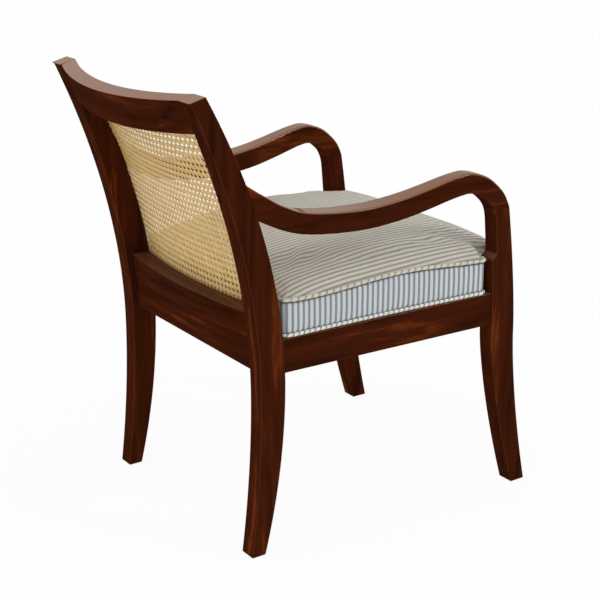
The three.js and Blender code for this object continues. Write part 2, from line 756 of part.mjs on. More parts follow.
// Plan of the cushion: bowed behind, notched round the front legs, drawn in between its corners
const cushionSideX = (y) => railOuterX(y) - cushionEdgeInset;
const cushionRearY = postFrontY(seatRailTop) - cushionBackGap - cushionEdgeInset;
const cushionFrontY = frontRailFrontY - cushionFrontOverhang + cushionEdgeInset;
const cushionMidY = (cushionRearY + cushionFrontY) / 2;
const cushionHalfDepth = (cushionRearY - cushionFrontY) / 2;
function cushionOutline() {
  const notchY = legBackY(seatRailTop) + cushionLegGap;
  const notchX = legInnerX - cushionNotchGap;
  const outline = [];
  const curve = (corner, from, to, radius) => {
    const start = new THREE.Vector2(...corner).addScaledVector(new THREE.Vector2(...from), -radius);
    const end = new THREE.Vector2(...corner).addScaledVector(new THREE.Vector2(...to), radius);
    const bend = new THREE.QuadraticBezierCurve(start, new THREE.Vector2(...corner), end);
    outline.push(...bend.getPoints(cushionCornerSteps).map((p) => [p.x, p.y]));
  };
  for (const share of steps(cushionBackSteps)) {
    const x = mix(0, cushionSideX(cushionRearY) - cushionCornerLead, share);
    outline.push([x, cushionRearY + caneRailBow * bowShare(x)]);
  }
  curve([cushionSideX(cushionRearY), cushionRearY], [1, 0], [0, -1], cushionCornerRadius);
  for (const share of steps(cushionSideSteps).slice(1, -1)) {
    const y = mix(cushionRearY - cushionCornerRadius, notchY + cushionCornerRadius, share);
    outline.push([cushionSideX(y) - cushionDrawIn * Math.sin(Math.PI * share), y]);
  }
  curve([cushionSideX(notchY), notchY], [0, -1], [-1, 0], cushionCornerRadius);
  curve([notchX, notchY], [-1, 0], [0, -1], cushionNotchRadius);
  curve([notchX, cushionFrontY], [0, -1], [-1, 0], cushionCornerRadius);
  for (const share of steps(cushionFrontSteps).slice(1)) {
    const x = mix(notchX - cushionCornerRadius, 0, share);
    outline.push([x, cushionFrontY + cushionDrawIn * Math.sin((Math.PI / 2) * share)]);
  }
  const other = outline.slice(1, -1).map(([x, y]) => [-x, y]).reverse();
  return [...outline, ...other];
}
function offsetLoop(loop, distance) {
  return loop.map(([x, y], i) => {
    const last = loop[(i + loop.length - 1) % loop.length];
    const next = loop[(i + 1) % loop.length];
    const along = new THREE.Vector2(next[0] - last[0], next[1] - last[1]).normalize();
    return [x - along.y * distance, y + along.x * distance];
  });
}
const cushionLoop = cushionOutline();
const weltReach = (weltRadius + jointGap) / Math.SQRT2 - weltSeam / 2;

// Heights of the two seams above the rails; the upper one is worn into a slow wave
const lowerSeam = () => jointGap + weltRadius + weltReach;
const upperSeam = (y) => cushionBoxing + seamWave(y);
function seamWave(y) {
  const halfWave = 2 * cushionWaveShare * cushionHalfDepth;
  return cushionSeamWave * Math.cos((Math.PI * (y - cushionMidY)) / halfWave);
}

// Crown of the cushion: it swells up close to the seam, then rises slowly to the middle
const sideShare = (x, y) => Math.abs(x) / cushionSideX(y);
const depthShare = (y) => Math.abs(y - cushionMidY) / cushionHalfDepth;
function crownRing(loop, share) {
  const fade = ease(clamp01((1 - share) / cushionNotchFadeShare));
  const edge = clamp01((1 - share) / cushionEdgeShare);
  const edgeRise = cushionEdgeRise * (1 - (1 - edge) ** 2) ** cushionEdgePower;
  return loop.map(([x, y]) => {
    const power = cushionSeamPower;
    const fullness = (sideShare(x, y) ** power + depthShare(y) ** power) ** (1 / power);
    const scale = share * mix(1, 1 / fullness, fade);
    const [ringX, ringY] = [x * scale, cushionMidY + (y - cushionMidY) * scale];
    const across = 1 - Math.min(1, sideShare(ringX, ringY)) ** cushionDomePower;
    const along = 1 - Math.min(1, depthShare(ringY)) ** cushionDomePower;
    const dome = cushionDome * across * along * (1 - share ** power);
    const height = cushionBoxing + seamWave(ringY) * share ** 2 + edgeRise + dome;
    return new THREE.Vector3(ringX, ringY, seatZ(ringY) + height);
  });
}
function cushionBody() {
  const seam = offsetLoop(cushionLoop, -weltSeam);
  const bottomShare = 0.9;
  const rings = [
    seam.map(([x, y]) => {
      const ringY = mix(cushionMidY, y, bottomShare);
      return new THREE.Vector3(x * bottomShare, ringY, seatZ(ringY) + jointGap);
    }),
    seam.map(([x, y]) => new THREE.Vector3(x, y, seatZ(y) + lowerSeam())),
  ];
  for (const share of steps(2)) {
    const swell = cushionSwell * Math.sin(Math.PI * share);
    rings.push(offsetLoop(cushionLoop, swell).map(([x, y]) => {
      const height = mix(lowerSeam() + weltSeam, upperSeam(y) - weltSeam, share);
      return new THREE.Vector3(x, y, seatZ(y) + height);
    }));
  }
  const crownShares = [1, 0.993, 0.98, 0.96, 0.9, 0.8, 0.64, 0.36];
  rings.push(...crownShares.map((share) => crownRing(seam, share)));
  return loft(rings);
}
function welt(seamHeight, down) {
  const path = offsetLoop(cushionLoop, weltReach);
  const outer = offsetLoop(cushionLoop, weltReach + weltRadius);
  const rings = path.map(([x, y], i) => {
    const out = new THREE.Vector2(outer[i][0] - x, outer[i][1] - y).normalize();
    return steps(weltSides).slice(1).map((turn) => {
      const side = weltRadius * Math.cos(2 * Math.PI * turn);
      const up = weltRadius * Math.sin(2 * Math.PI * turn);
      const z = seatZ(y) + seamHeight(y) - down * weltReach + up;
      return new THREE.Vector3(x + out.x * side, y + out.y * side, z);
    });
  });
  return loft(rings, true);
}

// Materials
function finish(color, roughness, metalness = 0) {
  return new THREE.MeshStandardMaterial({ color, roughness, metalness });
}
const mahogany = finish(0x5f2a13, 0.28);
const cane = finish(0xc9a86c, 0.55);
const reed = finish(0xbd9658, 0.5);
const ticking = finish(0xc9cbc6, 0.92);
const plywood = finish(0xb58f5e, 0.7);
const beech = finish(0xc29a66, 0.65);
const steel = finish(0x8d8f90, 0.35, 0.9);

// Assembly
const chair = new THREE.Group();
function place(name, geometry, material) {
  const mesh = new THREE.Mesh(geometry, material);
  mesh.name = name;
  chair.add(mesh);
}
function placePair(name, geometry, material) {
  place(`${name}_left`, geometry, material);
  place(`${name}_right`, mirrored(geometry), material);
}

const topGroove = crossSpline(splineTopHeight, jointGap);
const bottomGroove = crossSpline(splineBottomHeight - splineWidth, jointGap);
const sideMortise = sideRailTenon(jointGap);
const rootHole = dowelHole(rootDowel);
const legHole = dowelHole(legDowel);
const railMortises = [crestMortise, caneRailMortise, backRailMortise, sideMortise];
const postCuts = [...railMortises, rootHole, sideSpline(jointGap), topGroove, bottomGroove];
placePair('rear_post', cut(postBody(0, arrisRounding, 0), postCuts), mahogany);
placePair('front_leg', cut(legBody(), [frontRailMortise, sideMortise, legHole]), mahogany);
const postTool = postBody(jointGap, 0, cutOverrun);
placePair('arm', cut(armBody(), [postTool, caneRoom(), rootHole, legHole]), mahogany);

const crestBody = bowedPiece(crestProfile, postInnerX - jointGap);
place('crest_rail', cut(join(crestBody, [crestTenon]), [topGroove]), mahogany);
const caneRailBody = bowedPiece(caneRailProfile, postInnerX - jointGap);
place('cane_rail', cut(join(caneRailBody, [caneRailTenon]), [bottomGroove]), mahogany);

place('cane_panel', caneNet(), cane);
placePair('side_spline', sideSpline(0), reed);
place('top_spline', crossSpline(splineTopHeight, 0), reed);
place('bottom_spline', crossSpline(splineBottomHeight - splineWidth, 0), reed);

const leftHoles = (block, k) => screwHole(block.screws[k]);
const bothHoles = (block, k) => leftHoles(block, k).flatMap((hole) => [hole, mirrored(hole)]);
place('seat_rail_back', cut(join(backRail.body, [backRail.tenon]), bothHoles(rearBlock, 1)), mahogany);
place('seat_rail_front', cut(join(frontRail.body, [frontRail.tenon]), bothHoles(frontBlock, 1)), mahogany);
const sideRail = join(sideRailBody(), [sideRailTenon(0)]);
placePair('seat_rail', cut(sideRail, [...leftHoles(rearBlock, 0), ...leftHoles(frontBlock, 0)]), mahogany);

for (const [end, block] of [['rear', rearBlock], ['front', frontBlock]]) {
  const holes = block.screws.flatMap((place) => screwHole(place));
  placePair(`corner_block_${end}`, cut(block.slab, holes), beech);
  placePair(`block_screw_${end}_side`, screw(block.screws[0]), steel);
  placePair(`block_screw_${end}_end`, screw(block.screws[1]), steel);
}
placePair('arm_dowel', pin(...legDowel, dowelDiameter), beech);
placePair('post_dowel', pin(...rootDowel, dowelDiameter), beech);
placePair('side_batten', sideBatten(), beech);
place('back_batten', crossBatten(postInnerX - blockReach - 2 * jointGap, backRailInnerY, -1), beech);
place('front_batten', crossBatten(legInnerX - blockReach - 2 * jointGap, frontRailInnerY, 1), beech);
place('seat_deck', deck(), plywood);

place('seat_cushion', cushionBody(), ticking);
place('seat_welt_top', welt(upperSeam, -1), ticking);
place('seat_welt_bottom', welt(lowerSeam, 1), ticking);

// The origin is the middle of the chair's footprint, on the floor
const extent = new THREE.Box3().setFromObject(chair);
chair.position.y = -(extent.min.y + extent.max.y) / 2;

export default chair;
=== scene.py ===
# Planter's armchair: lacquered timber, woven cane and a striped cushion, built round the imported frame
import bmesh
import bpy
import json
import math
from mathutils import Matrix, Vector, kdtree


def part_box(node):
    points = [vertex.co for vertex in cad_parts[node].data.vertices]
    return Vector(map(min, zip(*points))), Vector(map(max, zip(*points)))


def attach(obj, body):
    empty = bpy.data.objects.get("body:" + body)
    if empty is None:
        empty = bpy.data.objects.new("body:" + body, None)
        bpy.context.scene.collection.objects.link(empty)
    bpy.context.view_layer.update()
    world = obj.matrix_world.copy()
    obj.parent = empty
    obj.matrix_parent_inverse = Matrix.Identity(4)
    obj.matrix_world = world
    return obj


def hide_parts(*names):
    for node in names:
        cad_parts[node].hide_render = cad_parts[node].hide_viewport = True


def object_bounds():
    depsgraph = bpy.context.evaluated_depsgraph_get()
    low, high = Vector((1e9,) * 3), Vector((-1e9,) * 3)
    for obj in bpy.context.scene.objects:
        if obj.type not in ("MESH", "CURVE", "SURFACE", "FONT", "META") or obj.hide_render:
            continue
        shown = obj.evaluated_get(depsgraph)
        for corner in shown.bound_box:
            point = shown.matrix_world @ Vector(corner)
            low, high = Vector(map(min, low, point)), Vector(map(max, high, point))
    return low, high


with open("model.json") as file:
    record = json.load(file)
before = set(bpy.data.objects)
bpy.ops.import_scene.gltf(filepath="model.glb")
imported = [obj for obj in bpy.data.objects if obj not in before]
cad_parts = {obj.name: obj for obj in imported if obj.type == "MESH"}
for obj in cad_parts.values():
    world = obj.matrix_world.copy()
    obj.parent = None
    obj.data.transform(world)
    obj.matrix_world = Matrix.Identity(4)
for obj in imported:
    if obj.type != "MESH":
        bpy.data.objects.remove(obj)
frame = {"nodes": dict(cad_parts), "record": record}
cad_low, cad_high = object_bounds()

MM = 0.001

# Sizes that the frame gives
back_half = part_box("rear_post_left")[1].x
post_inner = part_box("rear_post_left")[0].x
front_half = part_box("front_leg_left")[1].x
leg_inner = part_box("front_leg_left")[0].x
chair_height = cad_high.z
cane_rail_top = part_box("cane_rail")[1].z

# Rear post
post_middle = 258 * MM
post_waist_height = 320 * MM
post_deepest_height = 400 * MM
post_lean = 142 * MM
post_kick = 34 * MM
post_depth_top = 32 * MM
post_depth_seat = 52.5 * MM
post_depth_foot = 29 * MM
post_sweep_power = 1.93
post_taper_power = 2.2
post_top_slope_share = 0.27

# Front leg
leg_knee_height = 334 * MM
leg_depth_knee = 58 * MM
leg_depth_shoulder = 52 * MM
leg_depth_foot = 34.5 * MM
leg_kick = 49.5 * MM
leg_rake = 26.5 * MM
leg_kick_power = 1.55
leg_rake_power = 1.5
leg_taper_power = 1.2
leg_shoulder_height = 483 * MM
leg_shoulder_rise = 20 * MM
leg_shoulder_step = 13 * MM

# Arm
arm_joint_height = 587 * MM
arm_dip_height = 610.3 * MM
arm_root_rise = 54.5 * MM
arm_crown_rise = 34.3 * MM
arm_thickness = 39 * MM
arm_root_thickness = 46 * MM
arm_joint_depth = 34 * MM
arm_waist_width = 47 * MM
arm_top_rounding = 6 * MM
arm_fade_share = 0.93
arm_swell_end_share = 0.86
arm_swell_lead = 0.75
arm_swell_power = 1.2
arm_settle_share = 0.92
bend_start_share = 0.8

# Inside of the bend from arm to leg, as (y, z): the ends of its sweep, and the point that both ends head for
bend_top = Vector((-208.9, 605.9)) * MM
bend_turn = Vector((-226.2, 591.2)) * MM
bend_low = Vector((-229, 563)) * MM

# Back frame
crest_face_height = 59 * MM
crest_bow = 41 * MM
cane_rail_height = 47.5 * MM
cane_rail_bow = 20 * MM
back_rail_setback = 14 * MM

# Seat frame
seat_rail_top = 411.9 * MM
seat_rise = 8.7 * MM
seat_rail_height = 64 * MM
seat_rail_thickness = 24 * MM
seat_rail_inset = 3 * MM
joint_gap = 0.3 * MM
arris = 1.3 * MM

# Cane
cane_pitch_across = 11.8 * MM
cane_pitch_up = 12.5 * MM
cane_lap = 9 * MM
cane_margin = 1 * MM
cane_depth = 2.1 * MM
cane_flattening = 14 * MM
strand_width = 2.5 * MM
strand_apart = 1.45 * MM
strand_thickness = 0.55 * MM
strand_wave = 0.3 * MM
strand_cuts = 4
binder_width = 3.1 * MM
binder_lift = 1.2 * strand_thickness

# Cushion and welts
cushion_boxing = 73 * MM
cushion_seam_wave = 4.8 * MM
cushion_wave_share = 0.39
cushion_edge_rise = 32.5 * MM
cushion_edge_share = 0.095
cushion_edge_power = 0.8
cushion_corner_droop = 0.7
cushion_droop_power = 5
cushion_dome = 11 * MM
cushion_dome_power = 2.5
cushion_seam_power = 8
cushion_notch_fade_share = 0.15
cushion_edge_inset = 3.85 * MM
cushion_corner = 14 * MM
cushion_corner_lead = 19.6 * MM
cushion_back_gap = 2 * MM
cushion_leg_gap = 12 * MM
cushion_front_overhang = 8 * MM
cushion_draw_in = 3 * MM
cushion_wall_fullness = 0.4 * MM
notch_corner = 7 * MM
notch_gap = 6 * MM
welt_radius = 3.4 * MM
welt_seam = 4.5 * MM
welt_slant = 0.5

# Cloth of the cover
stripe_pitch = 11.4 * MM
thread_pitch = 0.9 * MM
# Painted shadow under the upper seam: how far down it stays full, and the height over which it fades out
seam_shadow_reach = 5.2 * MM
seam_shadow_blur = 1.8 * MM
side_below_seam = 2 * MM
side_short_of_seam = 1 * MM
crown_flat_band = 2 * MM
cloth_grain = 5.8 * MM
cloth_steps = 20
seam_hold = 8 * MM
swell_limit = 5 * MM


def mix(a, b, share):
    return a + (b - a) * share


def clamp(share):
    return min(1.0, max(0.0, share))


def ease(share):
    return share * share * (3 - 2 * share)


def shares(count):
    return [i / count for i in range(count + 1)]


def srgb(red, green, blue):
    """A colour given as on a screen, as the linear colour that a shader takes."""
    scaled = [c / 255 for c in (red, green, blue)]
    linear = [c / 12.92 if c < 0.04045 else ((c + 0.055) / 1.055) ** 2.4 for c in scaled]
    return (*linear, 1)


# Side profiles of the posts and legs
def post_mid(z):
    if z > post_waist_height:
        rise = (z - post_waist_height) / (chair_height - post_waist_height)
        return post_middle + post_lean * rise ** post_sweep_power
    return post_middle + post_kick * ((post_waist_height - z) / post_waist_height) ** post_sweep_power


def post_depth(z):
    if z > post_deepest_height:
        share, end = (z - post_deepest_height) / (chair_height - post_deepest_height), post_depth_top
    else:
        share, end = 1 - z / post_deepest_height, post_depth_foot
    return mix(post_depth_seat, end, share ** post_taper_power)


def post_front(z):
    return post_mid(z) - post_depth(z) / 2


def post_back(z):
    return post_mid(z) + post_depth(z) / 2


leg_front_at_knee = -post_middle - leg_depth_knee / 2


def leg_front(z):
    if z > leg_knee_height:
        rise = (z - leg_knee_height) / (arm_joint_height - leg_knee_height)
        return leg_front_at_knee + leg_rake * rise ** leg_rake_power
    return leg_front_at_knee - leg_kick * ((leg_knee_height - z) / leg_knee_height) ** leg_kick_power


def leg_depth(z):
    if z < leg_knee_height:
        fall = (leg_knee_height - z) / leg_knee_height
        return mix(leg_depth_knee, leg_depth_foot, fall ** leg_taper_power)
    if z < leg_shoulder_height:
        rise = (z - leg_knee_height) / (leg_shoulder_height - leg_knee_height)
        return mix(leg_depth_knee, leg_depth_shoulder, rise)
    stalk_share = clamp((z - leg_shoulder_height) / (arm_joint_height - leg_shoulder_height))
    stalk = mix(leg_depth_shoulder - leg_shoulder_step, arm_joint_depth, stalk_share)
    return mix(leg_depth_shoulder, stalk, ease(clamp((z - leg_shoulder_height) / leg_shoulder_rise)))


def bend_inside(z, otherwise):
    """Inside of the bend from arm to leg: one sweep past their joint, and elsewhere the given place."""
    if not bend_low.y < z < bend_top.y:
        return otherwise
    straight = bend_top.y - bend_turn.y
    curve = bend_top.y - 2 * bend_turn.y + bend_low.y
    share = (straight - math.sqrt(straight * straight - curve * (bend_top.y - z))) / curve
    return bend_top.lerp(bend_turn, share).lerp(bend_turn.lerp(bend_low, share), share).x


def leg_back(z):
    return bend_inside(z, leg_front(z) + leg_depth(z))


# The laws above put the seat's middle at y = 0, and the frame puts the middle of the whole chair there
frame_shift = cad_low.y - leg_front(0)


def seat_z(y):
    return seat_rail_top + seat_rise * (post_middle - y) / (2 * post_middle)


rail_start = post_front(seat_rail_top - seat_rail_height / 2)
rail_end = leg_back(seat_rail_top - seat_rail_height / 2)
back_rail_back = post_back(seat_rail_top - seat_rail_height / 2) - back_rail_setback
front_rail_front = leg_front(seat_rail_top) + seat_rail_inset


def rail_outer(y):
    return mix(back_half, front_half, (rail_start - y) / (rail_start - rail_end)) - seat_rail_inset


crest_front_bottom = chair_height - crest_face_height


def bow_share(x):
    return max(0.0, 1 - (x / post_inner) ** 2)


def back_face(x, h, behind):
    """A point on the bowed front face of the back, from x, a height at the posts and a depth behind."""
    share = clamp((h - cane_rail_top) / (crest_front_bottom - cane_rail_top))
    bow = mix(cane_rail_bow, crest_bow, share) * bow_share(x)
    drop = crest_bow * post_top_slope_share * share * bow_share(x)
    return Vector((x, post_front(h) + bow + behind, h - drop))


# Mesh helpers
def add_ring(bm, points):
    corners = [bm.verts.new(p) for p in points]
    sides = [bm.edges.new((corners[i - 1], corners[i])) for i in range(len(corners))]
    return corners, sides


def loft(bm, rings, is_loop=False):
    """Skins a stack of rings. Returns its lengthwise edges and the edges round its two ends."""
    made = [add_ring(bm, ring) for ring in rings]
    pairs = list(zip(made, made[1:])) + ([(made[-1], made[0])] if is_loop else [])
    for (_, low), (_, high) in pairs:
        bmesh.ops.bridge_loops(bm, edges=low + high)
    if not is_loop:
        for _, sides in (made[0], made[-1]):
            bmesh.ops.edgeloop_fill(bm, edges=sides)
    bmesh.ops.recalc_face_normals(bm, faces=bm.faces[:])
    count = range(len(rings[0]))
    lengthwise = [[bm.edges.get((low[k], high[k])) for (low, _), (high, _) in pairs] for k in count]
    return lengthwise, made[0][1] + made[-1][1]


def round_edges(bm, edges, radius, segments=3):
    bmesh.ops.bevel(
        bm, geom=edges, offset=radius, offset_type="OFFSET", segments=segments,
        profile=0.5, affect="EDGES", material=-1, clamp_overlap=True,
    )


def finish_piece(bm, name, material, node, sharp_angle=40):
    """Turns a bmesh into a piece at its place in the frame."""
    bmesh.ops.translate(bm, verts=bm.verts[:], vec=(0, frame_shift, 0))
    for face in bm.faces:
        face.smooth = True
    for edge in bm.edges:
        if len(edge.link_faces) == 2 and edge.calc_face_angle() > math.radians(sharp_angle):
            edge.smooth = False
    mesh = bpy.data.meshes.new(name)
    bm.to_mesh(mesh)
    bm.free()
    piece = bpy.data.objects.new(name, mesh)
    bpy.context.scene.collection.objects.link(piece)
    mesh.materials.append(material)
    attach(piece, "root")
    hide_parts(node)
    return piece


def finish_timber(bm, name, material, node):
    """A timber piece, with the light carried evenly over its flat faces and its rounded edges."""
    piece = finish_piece(bm, name, material, node)
    weigh = piece.modifiers.new("even_shading", "WEIGHTED_NORMAL")
    weigh.keep_sharp = True


def on_side(points, side):
    return [Vector((side * p.x, p.y, p.z)) for p in points]


# Shader helpers
class Value:
    """A shader socket that takes part in sums; each operator adds a Math node."""

    def __init__(self, finish, socket):
        self.finish = finish
        self.socket = socket

    def math(self, operation, a, b=0.0):
        return self.finish.node("ShaderNodeMath", {"operation": operation}, {0: a, 1: b})

    def __add__(self, other):
        return self.math("ADD", self, other)

    __radd__ = __add__

    def __sub__(self, other):
        return self.math("SUBTRACT", self, other)

    def __mul__(self, other):
        return self.math("MULTIPLY", self, other)

    __rmul__ = __mul__

    def sine(self):
        return self.math("SINE", self)

    def to_and_fro(self, reach):
        return self.math("PINGPONG", self, reach)

    def smooth_between(self, low, high):
        inputs = {"Value": self, "From Min": low, "From Max": high}
        return self.finish.node("ShaderNodeMapRange", {"interpolation_type": "SMOOTHSTEP"}, inputs)


class Finish:
    """A material with one Principled shader, whose other nodes all come from the node method."""

    def __init__(self, name, **constants):
        self.material = bpy.data.materials.new(name)
        self.material.use_nodes = True
        self.tree = self.material.node_tree
        self.tree.nodes.clear()
        self.shader = self.tree.nodes.new("ShaderNodeBsdfPrincipled")
        output = self.tree.nodes.new("ShaderNodeOutputMaterial")
        self.tree.links.new(self.shader.outputs[0], output.inputs["Surface"])
        for socket, value in constants.items():
            self.shader.inputs[socket.replace("_", " ").title().replace("Ior", "IOR")].default_value = value

    def feed(self, socket, value):
        if isinstance(value, Value):
            self.tree.links.new(value.socket, socket)
        else:
            socket.default_value = value

    def node(self, kind, settings=None, inputs=None, output=0):
        made = self.tree.nodes.new(kind)
        for key, value in (settings or {}).items():
            if key == "stops":
                self.set_stops(made.color_ramp, value)
            else:
                setattr(made, key, value)
        for key, value in (inputs or {}).items():
            self.feed(made.inputs[key], value)
        return Value(self, made.outputs[output])

    def set_stops(self, ramp, stops):
        while len(ramp.elements) < len(stops):
            ramp.elements.new(0.5)
        for element, (place, color) in zip(ramp.elements, stops):
            element.position = place
            element.color = color

    def object_place(self):
        return self.node("ShaderNodeTexCoord", output=3)

    def cloth_place(self):
        return self.node("ShaderNodeTexCoord", output=2)

    def stretched(self, where, scale):
        return self.node("ShaderNodeMapping", {}, {"Vector": where, "Scale": scale})

    def parts(self, where):
        return [self.node("ShaderNodeSeparateXYZ", {}, {0: where}, output=k) for k in range(3)]

    def painted(self, layer):
        return self.node("ShaderNodeAttribute", {"attribute_name": layer}, output=2)

    def noise(self, where, scale, detail=3.0, roughness=0.5, distortion=0.0):
        inputs = {
            "Vector": where, "Scale": scale, "Detail": detail,
            "Roughness": roughness, "Distortion": distortion,
        }
        return self.node("ShaderNodeTexNoise", {}, inputs)

    def ramp(self, value, stops):
        return self.node("ShaderNodeValToRGB", {"stops": stops}, {"Fac": value})

    def blend(self, share, a, b):
        return self.node("ShaderNodeMix", {"data_type": "RGBA"}, {0: share, 6: a, 7: b}, output=2)

    def bump(self, height, strength, distance):
        inputs = {"Height": height, "Strength": strength, "Distance": distance}
        return self.node("ShaderNodeBump", {}, inputs)

    def set(self, **links):
        for socket, value in links.items():
            self.feed(self.shader.inputs[socket.replace("_", " ").title()], value)
        return self.material


lengthwise_stretch = {"x": (0.1, 1, 1), "y": (1, 0.1, 1), "z": (1, 1, 0.1)}


def mahogany(name, along, seed, gloss_and_sheen_share=1.0):
    """Dark red-brown wood with its grain along one axis, satin at its sides and glossier on top. A painted
    sheen lightens its upward faces, and a painted orange highlight runs along the roundings of its side
    faces.
    """
    wood = Finish(name, specular_ior_level=0.0, coat_roughness=0.08, coat_ior=1.5)
    offset = {0: wood.object_place(), 1: (seed, seed * 0.7, seed * 1.3)}
    moved = wood.node("ShaderNodeVectorMath", {"operation": "ADD"}, offset)
    grain = wood.stretched(moved, lengthwise_stretch[along])
    bands = wood.noise(grain, 24.0, detail=2.5, roughness=0.55, distortion=0.7)
    rings = (wood.noise(grain, 11.0, detail=2.0, distortion=0.4) * 46.0).sine() * 0.5 + 0.5
    streaks = wood.noise(grain, 105.0, detail=5.0, roughness=0.68)
    pores = wood.noise(grain, 640.0, detail=2.0, roughness=0.7)
    tone = bands * 0.5 + rings * 0.1 + streaks * 0.32 + pores * 0.08
    stops = [
        (0.3, srgb(27, 9, 4)), (0.45, srgb(55, 22, 9)), (0.57, srgb(64, 26, 11)), (0.72, srgb(116, 54, 20)),
    ]
    facing = wood.parts(wood.node("ShaderNodeNewGeometry", output=1))
    # Upward faces: a glossier coat, and a painted sheen that lightens the base colour towards pale brown
    top_gloss_and_sheen = facing[2].smooth_between(0.2, 0.75) * gloss_and_sheen_share
    # Roundings between the side faces and the others: a painted orange highlight in the base colour, and a
    # little more coat
    sideways = facing[0] * facing[0]
    arris_gloss_and_highlight = (sideways - sideways * sideways).smooth_between(0.14, 0.25)
    tone_with_painted_sheen = wood.blend(top_gloss_and_sheen * 0.6, wood.ramp(tone, stops), srgb(160, 114, 82))
    return wood.set(
        base_color=wood.blend(arris_gloss_and_highlight * 0.3, tone_with_painted_sheen, srgb(150, 82, 38)), roughness=0.36 + 0.12 * streaks,
        coat_weight=0.005 + 0.48 * top_gloss_and_sheen + 0.1 * arris_gloss_and_highlight, normal=wood.bump(pores, 0.04, 0.0004),
    )


def cane_finish():
    straw = Finish("straw_cane", specular_ior_level=0.35)
    where = straw.object_place()
    strand = straw.node("ShaderNodeNewGeometry", output=8)
    spots = straw.noise(where, 60.0, detail=3.0)
    fibre = straw.noise(where, 900.0, detail=2.0)
    tone = strand * 0.35 + spots * 0.45 + fibre * 0.2
    stops = [(0.2, srgb(204, 162, 96)), (0.45, srgb(228, 192, 124)), (0.75, srgb(242, 214, 150))]
    across = straw.painted("across")
    # Painted shade at the edges of each strand, strongest on the binders
    edge_shade = (across * across).smooth_between(0.25, 0.95)
    color = straw.blend(edge_shade * 0.75, straw.ramp(tone, stops), srgb(112, 76, 32))
    return straw.set(base_color=color, roughness=0.42 + 0.2 * fibre, normal=straw.bump(fibre, 0.15, 0.0003))


def ticking(name, line_start, line_full, side_ground_in_cool_light, crown_ground_in_warm_light):
    """Striped cotton. The map runs across the stripes first. The crown has a warmer tone and the sides a
    bluer one, painted warm and cool light on the same cloth, and painted shadow darkens the sides under the
    upper seam.
    """
    cloth = Finish(name, specular_ior_level=0.2, sheen_weight=0.1)
    where = cloth.cloth_place()
    across, along, _ = cloth.parts(where)
    crown = cloth.painted("crown")
    wander = cloth.noise(where, 16.0, detail=2.0)
    wave = (across * (1 / stripe_pitch) + (wander - 0.5) * 0.2).to_and_fro(0.5) * 2
    stripe = wave.smooth_between(line_start, line_full)
    soil = cloth.noise(where, 9.0, detail=3.0)
    # Painted light: the sides take a cooler, bluer copy of the cloth's colours, the crown a warmer one
    ground = cloth.blend(crown, side_ground_in_cool_light, crown_ground_in_warm_light)
    line = cloth.blend(crown, srgb(122, 129, 139), srgb(149, 143, 134))
    color = cloth.blend(stripe, ground, line)
    # Painted shadow under the upper seam, dark grey
    crease = cloth.painted("crease")
    shaded = cloth.blend(crease, color, srgb(50, 50, 52))
    threads = (across * (2 * math.pi / thread_pitch)).sine() + (along * (2 * math.pi / thread_pitch)).sine()
    return cloth.set(
        base_color=cloth.blend(soil * 0.2, shaded, srgb(160, 154, 144)), roughness=0.86 + 0.1 * soil,
        normal=cloth.bump(threads, 0.06, 0.0004),
    )


def plain_wood(name, along, colors):
    raw = Finish(name, specular_ior_level=0.25)
    where = raw.stretched(raw.object_place(), lengthwise_stretch[along])
    grain = raw.noise(where, 160.0, detail=4.0, roughness=0.6)
    color = raw.ramp(grain, [(0.35, colors[0]), (0.65, colors[1])])
    return raw.set(base_color=color, roughness=0.62 + 0.15 * grain, normal=raw.bump(grain, 0.2, 0.0005))


def screw_steel():
    steel = Finish("screw_steel")
    wear = steel.noise(steel.object_place(), 400.0, detail=3.0)
    color = steel.ramp(wear, [(0.3, srgb(120, 121, 123)), (0.7, srgb(172, 173, 175))])
    return steel.set(base_color=color, roughness=0.3 + 0.2 * wear, metallic=0.9 + 0.1 * wear)


# Timber pieces
def rear_post(side, tag, material):
    rings = []
    for share in shares(74):
        z = chair_height * share
        slope = post_top_slope_share if share == 1 else 0
        front, back = post_front(z), post_back(z)
        corners = [(post_inner, front), (back_half, front), (back_half, back), (post_inner, back)]
        rings.append(on_side([Vector((x, y, z - slope * (y - front))) for x, y in corners], side))
    bm = bmesh.new()
    rails, ends = loft(bm, rings)
    round_edges(bm, sum(rails, ends), arris)
    finish_timber(bm, "post_timber_" + tag, material, "rear_post_" + tag)


def front_leg(side, tag, material):
    shoulder_top = leg_shoulder_height + leg_shoulder_rise
    heights = [leg_knee_height * s for s in shares(34)]
    heights += [mix(leg_knee_height, leg_shoulder_height, s) for s in shares(10)[1:]]
    heights += [mix(leg_shoulder_height, shoulder_top, s) for s in shares(8)[1:]]
    heights += [mix(shoulder_top, arm_joint_height - joint_gap, s) for s in shares(20)[1:]]
    rings = []
    for z in heights:
        front, back = leg_front(z), leg_back(z)
        corners = [(leg_inner, front), (front_half, front), (front_half, back), (leg_inner, back)]
        rings.append(on_side([Vector((x, y, z)) for x, y in corners], side))
    bm = bmesh.new()
    rails, ends = loft(bm, rings)
    foot = ends[:4]
    round_edges(bm, sum(rails, foot), arris)
    finish_timber(bm, "leg_timber_" + tag, material, "front_leg_" + tag)


